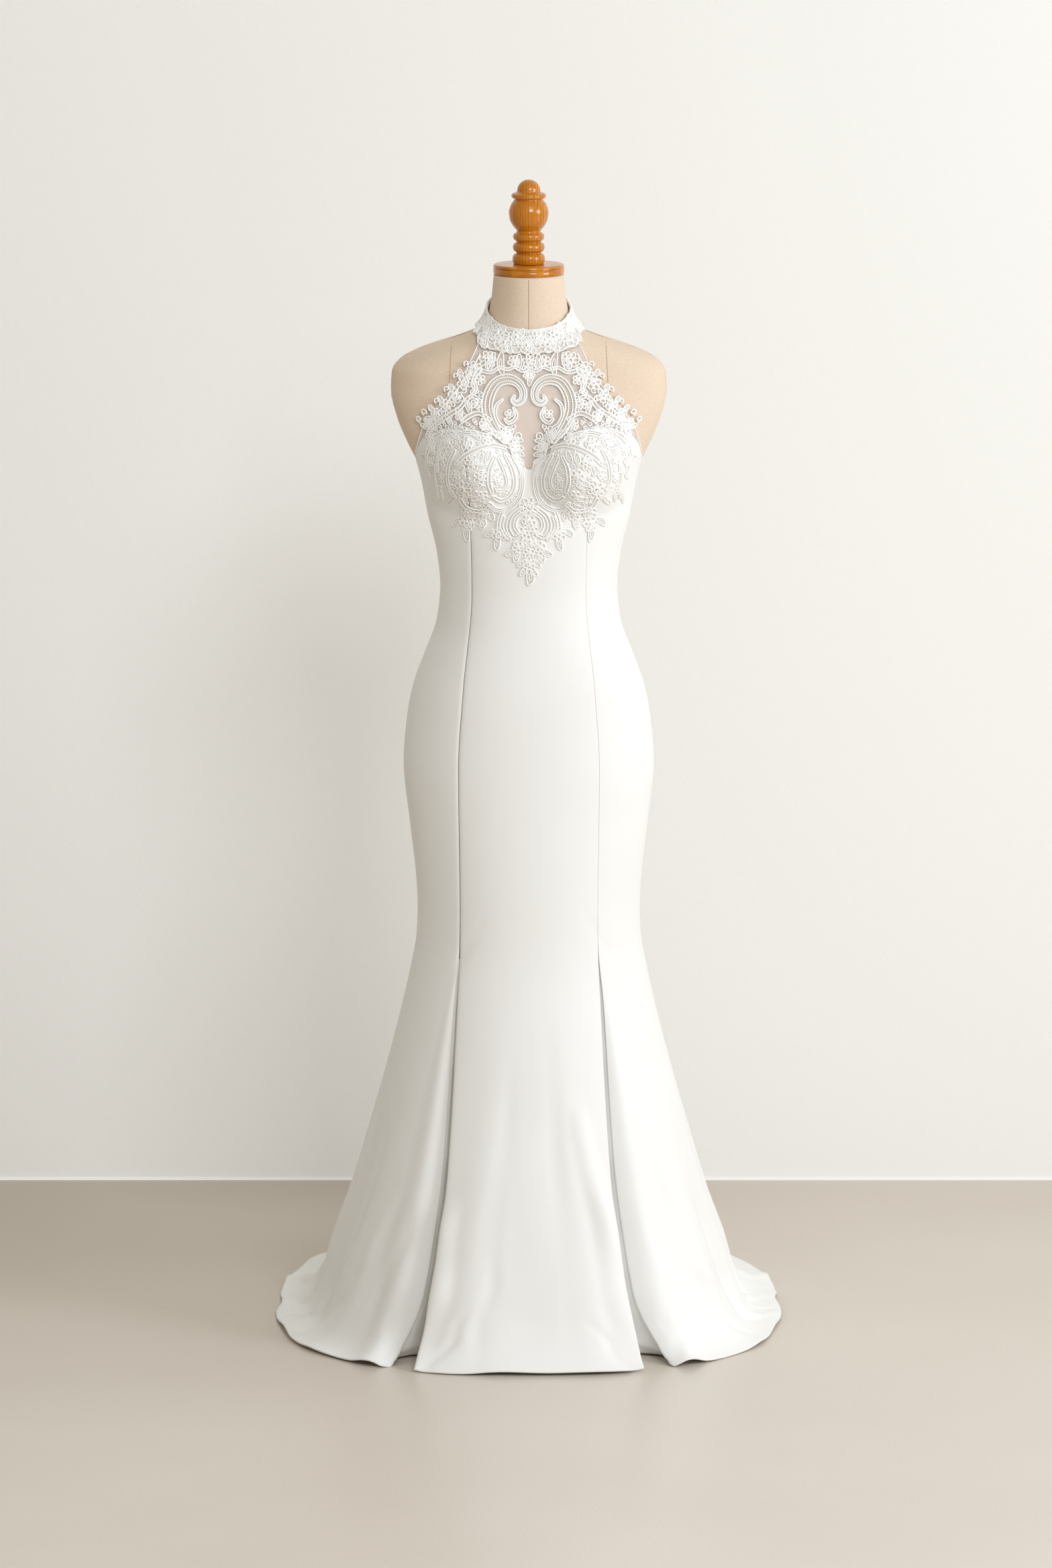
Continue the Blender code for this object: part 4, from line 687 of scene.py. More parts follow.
def wood_finish(name, along, colours):
    """Turned beech, stained honey brown under clear gloss lacquer: fine streaks along the grain."""
    made, tree, shader, _ = new_finish(name)
    place = add_node(tree, "ShaderNodeTexCoord").outputs["Object"]
    stretch = [1.0 if axis == along else 9.0 for axis in range(3)]
    grain_place = add_node(tree, "ShaderNodeMapping", {"Vector": place, "Scale": stretch})
    # growth rings about 3.9 mm apart, and streaks about 1.2 mm wide
    rings = add_node(
        tree, "ShaderNodeTexWave",
        {"Vector": grain_place.outputs[0], "Scale": 9.0, "Distortion": 6.0, "Detail": 3.0, "Detail Scale": 1.4},
        wave_type="BANDS", bands_direction="X",
    )
    fine = add_node(
        tree, "ShaderNodeTexNoise", {"Vector": grain_place.outputs[0], "Scale": 90.0, "Detail": 4.0}
    )
    both = add_node(tree, "ShaderNodeMath", {0: rings.outputs[1], 1: fine.outputs[0]}, operation="MULTIPLY")
    pattern = add_node(tree, "ShaderNodeMapRange", {"Value": both.outputs[0], "From Max": 0.6, "To Min": 0.45})
    bump = add_node(tree, "ShaderNodeBump", {"Height": fine.outputs[0], "Strength": 0.05, "Distance": 0.0003})
    mix = add_node(
        tree, "ShaderNodeMix",
        {0: pattern.outputs[0], MIX_A: (*colours.wood_dark, 1), MIX_B: (*colours.wood, 1)},
        data_type="RGBA",
    )
    set_shader(tree, shader, Base_Color=mix.outputs[MIX_COLOUR], Normal=bump.outputs[0],
               Roughness=0.28, Specular_IOR_Level=0.3, Coat_Weight=0.55, Coat_Roughness=0.09)
    return made


def steel_finish():
    """Powder-coated steel of the stand: a dull charcoal with the orange peel of the coating."""
    made, tree, shader, _ = new_finish("powder_coated_steel")
    place = add_node(tree, "ShaderNodeTexCoord").outputs["Object"]
    # orange peel of 1.5 mm
    peel = add_node(tree, "ShaderNodeTexNoise", {"Vector": place, "Scale": 1 / 0.0015, "Detail": 1.0})
    bump = add_node(tree, "ShaderNodeBump", {"Height": peel.outputs[0], "Strength": 0.2, "Distance": 0.0002})
    mix = add_node(
        tree, "ShaderNodeMix",
        {0: peel.outputs[0], MIX_A: colour_of("#34343A"), MIX_B: colour_of("#45454B")},
        data_type="RGBA",
    )
    set_shader(tree, shader, Base_Color=mix.outputs[MIX_COLOUR], Normal=bump.outputs[0], Roughness=0.5)
    return made


def floor_finish(colours):
    """Sealed pale screed: a soft cloudy greige with a faint reflection, and painted shade towards the back on
    the left.
    """
    made, tree, shader, _ = new_finish("sealed_screed")
    place = add_node(tree, "ShaderNodeTexCoord").outputs["Object"]
    # clouds about 600 mm across, and specks about 4 mm
    cloud = add_node(
        tree, "ShaderNodeTexNoise", {"Vector": place, "Scale": 1.6, "Detail": 5.0, "Roughness": 0.55}
    )
    speck = add_node(tree, "ShaderNodeTexNoise", {"Vector": place, "Scale": 260.0, "Detail": 2.0})
    both = add_node(tree, "ShaderNodeMath", {0: cloud.outputs[0], 1: speck.outputs[0]}, operation="ADD")
    pattern = add_node(
        tree, "ShaderNodeMapRange", {"Value": both.outputs[0], "From Min": 0.6, "From Max": 1.4}
    )
    # painted shade: the floor is darker towards the back on the left
    apart = add_node(tree, "ShaderNodeSeparateXYZ", {0: place})
    left = add_node(tree, "ShaderNodeMapRange", {"Value": apart.outputs[0], "From Min": 0.5, "From Max": -0.7,
                                                 "To Min": 0.25, "To Max": 1.0})
    back = add_node(tree, "ShaderNodeMapRange", {"Value": apart.outputs[1], "From Min": -0.6, "From Max": 0.95})
    floor_shade_mask = add_node(tree, "ShaderNodeMath", {0: left.outputs[0], 1: back.outputs[0]}, operation="MULTIPLY")
    floor_tone = add_node(
        tree, "ShaderNodeMix",
        {0: pattern.outputs[0], MIX_A: colour_of("#D2C8BB"), MIX_B: (*colours.floor, 1)},
        data_type="RGBA",
    )
    # B0A28F is the colour of the painted shade
    mix = add_node(
        tree, "ShaderNodeMix",
        {0: floor_shade_mask.outputs[0], MIX_A: floor_tone.outputs[MIX_COLOUR], MIX_B: colour_of("#B0A28F")},
        data_type="RGBA",
    )
    set_shader(tree, shader, Base_Color=mix.outputs[MIX_COLOUR], Roughness=0.30)
    return made


def wall_finish(colours):
    """Painted plaster behind the dress, seen from its front only, so that it hides nothing from behind."""
    made, tree, shader, output = new_finish("painted_plaster")
    place = add_node(tree, "ShaderNodeTexCoord").outputs["Object"]
    # the roller's stipple, about 7 mm
    stipple = add_node(tree, "ShaderNodeTexNoise", {"Vector": place, "Scale": 140.0, "Detail": 3.0})
    bump = add_node(tree, "ShaderNodeBump", {"Height": stipple.outputs[0], "Strength": 0.12, "Distance": 0.002})
    set_shader(tree, shader, Base_Color=(*colours.wall, 1), Normal=bump.outputs[0], Roughness=0.9)
    clear = add_node(tree, "ShaderNodeBsdfTransparent")
    side = add_node(tree, "ShaderNodeNewGeometry").outputs["Backfacing"]
    shown = add_node(tree, "ShaderNodeMixShader", {0: side, 1: shader.outputs[0], 2: clear.outputs[0]})
    tree.links.new(shown.outputs[0], output.inputs["Surface"])
    return made


# Making that the pieces share

def finish_of(name, maker, *values):
    """The material of that name, made the first time that it is asked for."""
    return bpy.data.materials.get(name) or maker(*values)


def add_piece(name, bm, finishes, replaced=(), smooth=True):
    """Turns a bmesh into a named piece that rides on the object's one body."""
    mesh = bpy.data.meshes.new(name)
    bm.to_mesh(mesh)
    bm.free()
    for finish in finishes:
        mesh.materials.append(finish)
    for polygon in mesh.polygons:
        polygon.use_smooth = smooth
    made = bpy.data.objects.new(name, mesh)
    bpy.context.scene.collection.objects.link(made)
    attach(made, "root")
    if replaced:
        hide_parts(*replaced)
    return made


def lay_grid(bm, points, uv=None, material_index=0):
    """Blender's own grid with each vertex moved to a point: rows run down and columns to the right."""
    rows, columns = points.shape[:2]
    made = bmesh.ops.create_grid(bm, x_segments=columns - 1, y_segments=rows - 1, size=1.0)["verts"]
    flat = np.array([v.co[:2] for v in made])
    share = (flat - flat.min(axis=0)) / (flat.max(axis=0) - flat.min(axis=0))
    column = np.rint(share[:, 0] * (columns - 1)).astype(int)
    row = np.rint((1 - share[:, 1]) * (rows - 1)).astype(int)
    for vert, r, c in zip(made, row, column):
        vert.co = points[r, c]
    faces = {face for vert in made for face in vert.link_faces}
    if material_index:
        for face in faces:
            face.material_index = material_index
    if uv is not None:
        layer = bm.loops.layers.uv.verify()
        place = {vert: uv[r, c] for vert, r, c in zip(made, row, column)}
        for face in faces:
            for loop in face.loops:
                loop[layer].uv = place[loop.vert]
    return made


def lengths_across(points):
    """Distances along each row of a grid of points, from its first column."""
    steps = np.linalg.norm(np.diff(points, axis=1), axis=-1)
    return np.concatenate([np.zeros((len(points), 1)), np.cumsum(steps, axis=1)], axis=1)


def lengths_down(points):
    """Distances down each column of a grid of points, from its first row."""
    steps = np.linalg.norm(np.diff(points, axis=0), axis=-1)
    return np.concatenate([np.zeros((1, points.shape[1])), np.cumsum(steps, axis=0)], axis=0)


def uv_of(points):
    """Metres across and metres down the cloth, for patterns that follow it."""
    return np.stack([lengths_across(points), -lengths_down(points)], axis=-1)


def give_wall(piece, thickness):
    """The cloth's thickness, put on the inner side."""
    wall = piece.modifiers.new("Cloth", "SOLIDIFY")
    wall.thickness = thickness
    wall.offset = -1.0
    return piece


# The panels and godets of crepe

# Soft creases of the worn dress: where one starts and ends (degrees from the front, level), its half width
# in degrees, and its depth in metres, negative for a ridge.
Crease = namedtuple("Crease", "from_angle from_level to_angle to_level half_width depth")
CREASES = (
    Crease(-9, 0.40, -13, 0.02, 5.0, 0.0012), Crease(10, 0.46, 12, 0.02, 5.5, 0.0014),
    Crease(0, 0.34, 1, 0.10, 6.5, -0.0008), Crease(-26, 0.22, -25, 0.01, 5.0, -0.0070),
    Crease(22, 0.34, 26, 0.01, 5.5, -0.0078), Crease(-10, 0.16, -12, 0.01, 3.0, 0.0016),
    Crease(-38, 0.20, -44, 0.01, 4.0, 0.0040), Crease(-48, 0.26, -52, 0.01, 3.6, -0.0030),
    Crease(40, 0.24, 46, 0.01, 3.8, 0.0036), Crease(52, 0.30, 58, 0.01, 4.6, -0.0028),
    Crease(-62, 0.30, -66, 0.02, 4.2, 0.0036), Crease(66, 0.22, 72, 0.02, 3.8, 0.0040),
    Crease(-80, 0.34, -86, 0.01, 4.8, -0.0034), Crease(82, 0.30, 88, 0.01, 4.4, 0.0032),
    Crease(-104, 0.26, -110, 0.01, 4.4, 0.0036), Crease(108, 0.30, 104, 0.01, 4.6, -0.0030),
    Crease(-126, 0.34, -128, 0.01, 5.0, 0.0034), Crease(128, 0.26, 132, 0.01, 4.2, 0.0036),
    Crease(-148, 0.24, -146, 0.01, 4.0, -0.0030), Crease(150, 0.32, 147, 0.01, 4.6, -0.0034),
    Crease(-168, 0.30, -171, 0.01, 4.0, 0.0030), Crease(170, 0.26, 168, 0.01, 3.6, 0.0032),
    Crease(-50, 0.12, -66, 0.004, 3.0, 0.0042), Crease(-60, 0.10, -76, 0.004, 2.6, -0.0032),
    Crease(46, 0.13, 63, 0.004, 3.0, 0.0042), Crease(58, 0.10, 73, 0.004, 2.6, -0.0032),
    Crease(-35, 0.09, -31, 0.003, 1.9, 0.0028), Crease(36, 0.08, 31, 0.003, 1.9, 0.0028),
    Crease(-15, 0.08, -21, 0.003, 1.9, 0.0026), Crease(15, 0.07, 21, 0.003, 1.9, 0.0026),
    Crease(-72, 0.055, -80, 0.0, 2.4, -0.0065), Crease(-93, 0.050, -99, 0.0, 3.0, -0.0080),
    Crease(75, 0.050, 84, 0.0, 2.6, -0.0070), Crease(96, 0.055, 101, 0.0, 2.8, -0.0075),
    Crease(-122, 0.06, -117, 0.0, 3.2, -0.0080), Crease(126, 0.06, 120, 0.0, 3.0, -0.0080),
    Crease(-157, 0.06, -161, 0.0, 3.0, -0.0080), Crease(158, 0.05, 164, 0.0, 3.4, -0.0070),
    Crease(-30, 0.60, -52, 0.50, 5.0, 0.0009), Crease(34, 0.62, 56, 0.53, 5.0, 0.0008),
    Crease(-110, 0.66, -134, 0.56, 6.0, 0.0012), Crease(112, 0.64, 138, 0.58, 6.0, 0.0012),
    Crease(-86, 1.075, -70, 1.060, 5.0, 0.0004), Crease(88, 1.060, 72, 1.046, 5.0, 0.0004),
    Crease(-150, 1.03, -112, 1.015, 7.0, 0.0005), Crease(152, 1.02, 116, 1.006, 7.0, 0.0005),
)
# The outer side of the cloth where the hem lies on the floor
HEM_LEVEL = 0.0024
# How far the hem lifts off the floor in waves, up to which level, and the waves: number, start and share
HEM_LIFT, HEM_LIFT_HEIGHT = 0.0085, 0.03
HEM_WAVES = ((5.0, 0.4, 0.42), (11.0, 2.1, 0.33), (17.0, 4.0, 0.25))
# How far the hem corner of a side front panel curls up beside its godet, how far across and how far up
CORNER_LIFT, CORNER_REACH, CORNER_HEIGHT = 0.0060, 0.050, 0.07
# The cloth's turn beside a sewn seam
SEAM_ROLL_WIDTH = 0.0045


# How far a crease wanders, in degrees, and how much its depth changes on its way
CREASE_WANDER, CREASE_UNEVEN = 0.8, 0.25


def crease_depth(angle, level, strength):
    """How far the listed creases push the cloth inwards."""
    degrees = np.degrees(angle)
    depth = np.zeros(degrees.shape)
    for i, crease in enumerate(CREASES):
        along = (crease.from_level - level) / (crease.from_level - crease.to_level)
        middle = crease.from_angle + (crease.to_angle - crease.from_angle) * np.clip(along, 0, 1)
        middle = middle + CREASE_WANDER * np.sin(9 * along + i)
        ends = np.sin(np.pi * np.clip(along * 0.86 + 0.02, 0, 1)) ** 0.8
        uneven = 1 + CREASE_UNEVEN * np.sin(14 * along + 2 * i)
        depth += crease.depth * ends * uneven * bell(degrees - middle, crease.half_width)
    return depth * strength


def hem_lift(angle, level):
    """Waves of the loose hem over the floor."""
    waves = sum(share * (0.5 + 0.5 * np.sin(count * angle + start)) for count, start, share in HEM_WAVES)
    return HEM_LIFT * waves**2 * np.clip(1 - level / HEM_LIFT_HEIGHT, 0, 1) ** 2


def draped(angle, level, strength=1.0):
    """Points of the crepe with its creases and the waves of its hem."""
    points = skin(angle, level) - skin_normal(angle, level) * crease_depth(angle, level, strength)[..., None]
    points[..., 2] = np.maximum(points[..., 2], HEM_LEVEL) + hem_lift(angle, level)
    return points


def edge_columns(count):
    """Shares across a panel, closer together beside its two seams."""
    near = np.array([0.0, 0.008, 0.018, 0.034])
    return np.concatenate([near, np.linspace(0.055, 0.945, count), 1 - near[::-1]])


def rolled(points, out, width, depths):
    """The cloth turned in along both side edges, as it is beside a seam."""
    across = lengths_across(points)
    for depth, near in zip(depths, (across, across[:, -1:] - across)):
        points = points - out * (depth * np.clip(1 - near / width, 0, 1) ** 2)[..., None]
    return points


def turned_in(points, out, level, which):
    """A side front panel with its soft roll beside the godet, and the curled corner of its hem."""
    away = lengths_across(points)
    if which < 0:
        away = away[:, -1:] - away
    points = points - out * edge_turn(level, away)[..., None]
    sideways = np.stack([-out[..., 1], out[..., 0], np.zeros(level.shape)], axis=-1) * which
    swept = corner_sweep(level, which) * np.clip(1 - away / SWEEP_REACH, 0, 1) ** 2
    points = points + sideways * swept[..., None]
    curled = np.clip(1 - away / CORNER_REACH, 0, 1) ** 2 * np.clip(1 - level / CORNER_HEIGHT, 0, 1) ** 1.4
    points[..., 2] = np.maximum(points[..., 2] + CORNER_LIFT * curled, HEM_LEVEL)
    return points


# Panels: node, columns, which seams they lie between, and how strongly each of their side edges turns in
PANELS = (
    ("front_centre", 46, 0, (1.0, 0.0)),
    ("side_front_right", 38, 1, (0.0, 1.0)), ("side_front_left", 38, -1, (1.0, 1.0)),
    ("side_back_right", 28, 2, (1.0, 1.0)), ("side_back_left", 28, -2, (1.0, 1.0)),
    ("back_right", 26, 3, (1.0, 1.0)), ("back_left", 26, -3, (1.0, 1.0)),
)


# The seam on the right is pressed flatter, and almost closes the gap between its two panels
CLOSED = 0.75 * GAP_ANGLE


def panel_angles(which, columns):
    """Angles and levels of one panel: 0 the centre front, 1 to 3 round the right side, -1 to -3 the left."""
    edges = (
        (lambda l: -inner_edge(l), lambda l: inner_edge(l) + CLOSED),
        (lambda l: outer_edge(l) - CLOSED * (which > 0), fixed(SIDE_ANGLE - GAP_ANGLE)),
        (fixed(SIDE_ANGLE + GAP_ANGLE), fixed(BACK_ANGLE - GAP_ANGLE)),
        (fixed(BACK_ANGLE + GAP_ANGLE), fixed(REAR_ANGLE - GAP_ANGLE)),
    )[abs(which)]
    angle, level = panel_grid(*edges, edge_columns(columns))
    if which < 0:
        angle, level = -angle[:, ::-1], level[:, ::-1]
    return angle, level


def make_panels(sizes, colours):
    """The seven panels of crepe, each with its creases and its turned edges."""
    crepe = finish_of("polyester_crepe", crepe_finish, colours)
    for name, columns, which, turns in PANELS:
        angle, level = panel_angles(which, columns)
        points = draped(angle, level, sizes.creases)
        out = skin_normal(angle, level)
        if abs(which) == 1:
            points = turned_in(points, out, level, which)
        points = rolled(points, out, SEAM_ROLL_WIDTH, [sizes.seam_roll * turn for turn in turns])
        bm = bmesh.new()
        lay_grid(bm, points, uv_of(points))
        piece = give_wall(add_piece(name + "_crepe", bm, [crepe], [name]), sizes.cloth)


# Below this level a godet hangs straight down
GODET_FOOT = 0.030


def make_godets(sizes, colours):
    """The two godets, folded in between the front panel and the side front panels."""
    crepe = finish_of("polyester_crepe", crepe_finish, colours)
    depth_at = curve_through(GODET, 1)
    levels = np.concatenate([np.arange(0.54, 0.1, -0.012), [0.1, 0.085, 0.07, 0.06, 0.05, 0.04, 0.034],
                             np.linspace(GODET_FOOT, HEM_LEVEL, 6)])
    for name, hand in (("godet_right", 1), ("godet_left", -1)):
        points = []
        for level in levels:
            above = max(level, GODET_FOOT)
            row = godet_path(above, depth_at(above), float(corner_sweep(level, hand)))
            hanging = (min(level, GODET_FOOT) - HEM_LEVEL) / (GODET_FOOT - HEM_LEVEL)
            row[:, 2] = HEM_LEVEL + (row[:, 2] - HEM_LEVEL) * hanging
            points.append(row)
        points = np.array(points)
        laid = points if hand > 0 else (points * (-1, 1, 1))[:, ::-1]
        bm = bmesh.new()
        lay_grid(bm, laid, uv_of(laid))
        piece = give_wall(add_piece(name + "_crepe", bm, [crepe], [name]), sizes.cloth)


# The net of the yoke

def net_points(columns=72, rows=44):
    """The sheer yoke from the neckline up to the collar, as a fine grid."""
    side, _ = panel_grid(outer_edge, fixed(SIDE_ANGLE - GAP_ANGLE), np.linspace(0, 1, 7))
    low_angle = np.linspace(-side[0, 4], side[0, 4], columns + 1)
    low = TOP_CURVE(np.abs(np.degrees(low_angle))) + SEAM_GAP
    low_x = skin(low_angle, low)[:, 0]
    share = np.linspace(0, 1, rows + 1)[::-1, None]
    end_width = YOKE_CURVE(share) + (low_x[-1] - YOKE_CURVE(0.0)) * (1 - share)
    x = low_x / low_x[-1] * end_width
    level = np.full(len(low_x), 1.39)
    for _ in range(12):
        level = COLLAR_LOWER(np.abs(np.degrees(angle_at(x[0], level))))
    levels = low + (level - 2 * SEAM_GAP - low) * share
    angles = angle_at(x, levels)
    angles[-1] = low_angle
    return angles, levels


def make_net(sizes, colours):
    """The sheer net of the yoke, in one piece."""
    angle, level = net_points()
    points = skin(angle, level)
    bm = bmesh.new()
    lay_grid(bm, points, uv_of(points))
    net = finish_of("illusion_tulle", net_finish, colours)
    piece = give_wall(add_piece("yoke_tulle", bm, [net], ["yoke_net"]), sizes.net)


# The corded lace

LACE_STEP = 2.0
LACE_S = np.arange(0.0, 216.0, LACE_STEP)
LACE_Z = np.arange(1040.0, 1456.0, LACE_STEP)
LACE_ANGLES = np.array([np.interp(LACE_S / 1000, row, STEPS) for row in along_rings(LACE_Z / 1000)])


def dress_place(s, z, lift):
    """Points over the worn figure, from millimetres along the cloth, height and lift off it."""
    across = np.clip(np.abs(s) / LACE_STEP, 0, len(LACE_S) - 1.001)
    up = np.clip((z - LACE_Z[0]) / LACE_STEP, 0, len(LACE_Z) - 1.001)
    i, j = across.astype(int), up.astype(int)
    a, b = across - i, up - j
    low = LACE_ANGLES[j, i] * (1 - a) + LACE_ANGLES[j, i + 1] * a
    high = LACE_ANGLES[j + 1, i] * (1 - a) + LACE_ANGLES[j + 1, i + 1] * a
    angle = np.sign(s) * (low * (1 - b) + high * b)
    level = z / 1000
    return skin(angle, level) + skin_normal(angle, level) * lift[..., None] / 1000


COLLAR_ROUND = 66.0     # millimetres of collar to each radian round the neck
COLLAR_LIFT = 0.0012    # the collar's band, off the skin of the figure


def collar_place(s, h, lift):
    """Points over the collar, from millimetres round it, above its lower edge and off its outside."""
    angle = s / COLLAR_ROUND
    degrees = np.abs(np.degrees(angle))
    lower, upper = COLLAR_LOWER(degrees), COLLAR_UPPER(degrees)
    level = np.clip(lower + h / 1000, lower - 0.001, upper + 0.001)
    return skin(angle, level) + skin_normal(angle, level) * (lift[..., None] / 1000 + COLLAR_LIFT)


def in_space(x, y, z):
    """Points that are already in space, in millimetres."""
    return np.column_stack([x, y, z]) / 1000


class Lacework:
    """The cords, stitched fills and beads of one piece of lace, in millimetres on the cloth laid flat."""

    def __init__(self):
        self.cords, self.fills, self.beads = [], [], []

    def cord(self, line, radius, lift, closed=False):
        line = np.asarray(line, float)
        radius = np.broadcast_to(np.asarray(radius, float), len(line))
        lift = np.broadcast_to(np.asarray(lift, float), len(line))
        self.cords.append((np.column_stack([line, lift]), radius, closed))

    def fill(self, grid, lift):
        self.fills.append(np.concatenate([grid, lift[..., None]], axis=-1))

    def bead(self, s, z, radius, lift):
        self.beads.append((s, z, radius, lift))


def turned_by(points, degrees):
    """Flat points turned round the middle."""
    turn = math.radians(degrees)
    x, z = points[..., 0], points[..., 1]
    return np.stack([x * math.cos(turn) - z * math.sin(turn), x * math.sin(turn) + z * math.cos(turn)], axis=-1)


def smooth_rows(rows, samples):
    """A curve through the points of a scroll, with its width, as rows of three numbers."""
    table = np.array(rows, float)
    table = np.concatenate([2 * table[:1] - table[1:2], table, 2 * table[-1:] - table[-2:-1]])
    found = []
    for i in range(1, len(table) - 2):
        p0, p1, p2, p3 = table[i - 1 : i + 3]
        for t in np.arange(samples) / samples:
            bend = (2 * p0 - 5 * p1 + 4 * p2 - p3) * t * t + (3 * p1 - p0 - 3 * p2 + p3) * t**3
            found.append(0.5 * (2 * p1 + (p2 - p0) * t + bend))
    found.append(table[-2])
    return np.array(found)


def round_outline(centre, side, half):
    """A closed line round a band: one side, its round end, the other side back, and its round start."""
    ahead = np.stack([side[:, 1], -side[:, 0]], axis=-1)
    turn = np.radians(np.array([-60.0, -20.0, 20.0, 60.0]))[:, None]
    end = centre[-1] + half[-1] * (ahead[-1] * np.cos(turn) - side[-1] * np.sin(turn))
    start = centre[0] + half[0] * (-ahead[0] * np.cos(turn) + side[0] * np.sin(turn))
    return np.concatenate([centre + side * half[:, None], end, (centre - side * half[:, None])[::-1], start])


def add_scroll(work, rows, hand, cord):
    """A scroll: a domed band of satin stitch between cords, with more cords and beads where it is wide."""
    path = smooth_rows(rows, 6)
    centre, width = path[:, :2] * (hand, 1), path[:, 2]
    ahead = np.gradient(centre, axis=0)
    ahead /= np.linalg.norm(ahead, axis=1, keepdims=True)
    side = np.stack([-ahead[:, 1], ahead[:, 0]], axis=-1)
    half = width / 2
    if width.max() < 4.5:
        work.cord(centre, cord, cord * 0.8)
        return
    work.cord(round_outline(centre, side, half - cord * 0.6), cord, cord * 0.8, closed=True)
    shares = np.array([-1.0, -0.5, 0.0, 0.5, 1.0])
    if hand < 0:
        shares = shares[::-1]
    grid = centre[:, None, :] - side[:, None, :] * (half[:, None] * shares)[..., None] * hand
    work.fill(grid, 0.15 + 0.25 * (1 - shares**2) + 0 * half[:, None])
    wide = float(width.max())
    inner = []
    if wide >= 12:
        inner, rows_of_beads = [-0.36, 0.36], [0.0, -0.68, 0.68]
    elif wide >= 8:
        inner, rows_of_beads = [0.0], [-0.5, 0.5]
    elif wide >= 6.5:
        inner, rows_of_beads = [0.0], []
    else:
        rows_of_beads = [0.0]
    for share in inner:
        at = slice(2, len(centre) - 2)
        work.cord((centre + side * (half * share)[:, None])[at], cord * 0.85, cord * 0.95)
    for share in rows_of_beads:
        line = centre + side * (half * share)[:, None]
        gone = np.concatenate([[0], np.cumsum(np.linalg.norm(np.diff(line, axis=0), axis=1))])
        for stop in np.arange(2.0, gone[-1] - 1.5, 3.1):
            work.bead(np.interp(stop, gone, line[:, 0]), np.interp(stop, gone, line[:, 1]), 0.8, 0.75)


DISC = np.linspace(-1, 1, 5)


def add_petal(work, foot, length, width, pointing, cord, lift):
    """One petal or lobe: a loop of cord round a small domed fill."""
    turn = np.linspace(0, 2 * np.pi, 12, endpoint=False)
    along = 0.5 - 0.5 * np.cos(turn)
    loop = np.stack([along * length, 0.5 * width * np.sin(turn) * (0.45 + 0.55 * along) / 0.86], axis=-1)
    work.cord(turned_by(loop, pointing) + foot, cord, lift, closed=True)
    u, v = np.meshgrid(DISC, DISC[::-1])
    x, y = u * np.sqrt(1 - v**2 / 2), v * np.sqrt(1 - u**2 / 2)
    along = 0.5 + 0.5 * x
    disc = np.stack([along * length, 0.48 * width * y * (0.55 + 0.45 * along)], axis=-1)
    work.fill(turned_by(disc, pointing) + foot, (lift - 0.55) + 0.3 * (1 - x**2 - y**2 * 0.8))


def add_curl(work, middle, radius, turns, start, way, cord, lift):
    """A snail of cord that winds in to its middle."""
    count = max(8, int(14 * turns))
    share = np.linspace(0, 1, count)
    turn = math.radians(start) + way * share * turns * 2 * np.pi
    reach = radius * (1 - 0.82 * share)
    line = np.stack([middle[0] + reach * np.cos(turn), middle[1] + reach * np.sin(turn)], axis=-1)
    work.cord(line, cord * (1 - 0.25 * share), lift + 0.25 * share)


def add_flower(work, s, z, radius, petals, cord, rng):
    """A rosette: a ring of petals, on the larger ones a second ring, and a curled centre with beads."""
    first = rng.uniform(0, 360)
    width = min(2 * math.pi * 0.62 * radius / petals, radius)
    for k in range(petals):
        pointing = first + 360 * k / petals + rng.uniform(-5, 5)
        foot = turned_by(np.array([radius * 0.24, 0.0]), pointing) + (s, z)
        add_petal(work, foot, radius * 0.76 * rng.uniform(0.92, 1.04), width, pointing, cord, 0.75)
    if radius >= 9:
        add_curl(work, (s, z), radius * 0.62, 1.7, first, 1 if s > 0 else -1, cord * 0.95, 1.3)
        add_curl(work, (s, z), radius * 0.36, 1.2, first + 170, 1 if s > 0 else -1, cord * 0.85, 1.5)
        work.bead(s, z, 1.1, 2.0)
    else:
        add_curl(work, (s, z), radius * 0.34, 1.3, first, 1, cord * 0.9, 1.2)
        work.bead(s, z, 0.9, 1.6)


def add_leaf(work, s, z, length, width, pointing, cord, rng, hand):
    """A leaf: a bent outline of cord, its midrib, and a fill that dips along the midrib."""
    share = np.linspace(0, 1, 9)
    bend = rng.uniform(-0.22, 0.22) * length
    axis = np.stack([share * length, bend * share * (1 - share) * 2], axis=-1)
    half = 0.5 * width * np.sin(np.pi * np.clip(share * 0.90 + 0.07, 0, 1)) ** 0.6
    reach = np.stack([0 * half, half], -1)
    loop = np.concatenate([axis + reach, (axis - reach)[::-1]])
    if hand < 0:
        pointing = 180 - pointing
    foot = np.array([s, z])
    work.cord(turned_by(loop, pointing) + foot, cord, 0.75, closed=True)
    inner = axis[4] + (loop - axis[4]) * (0.46, 0.40)
    work.cord(turned_by(inner, pointing) + foot, cord * 0.75, 0.8, closed=True)
    across = np.array([1.0, 0.5, 0.0, -0.5, -1.0])
    grid = axis[None] + np.stack([0 * half[None] * across[:, None], half[None] * across[:, None]], axis=-1)
    work.fill(turned_by(grid, pointing) + foot, 0.15 + 0.25 * (1 - across**2)[:, None] + 0 * half)


def inside(outline, s, z):
    """Whether a point lies in a closed outline."""
    x, y = outline[:, 0], outline[:, 1]
    x1, y1 = np.roll(x, -1), np.roll(y, -1)
    crossing = (y > z) != (y1 > z)
    where = (x1 - x) * (z - y) / np.where(y1 == y, 1e-9, y1 - y) + x
    return int(np.sum(crossing & (s < where))) % 2 == 1


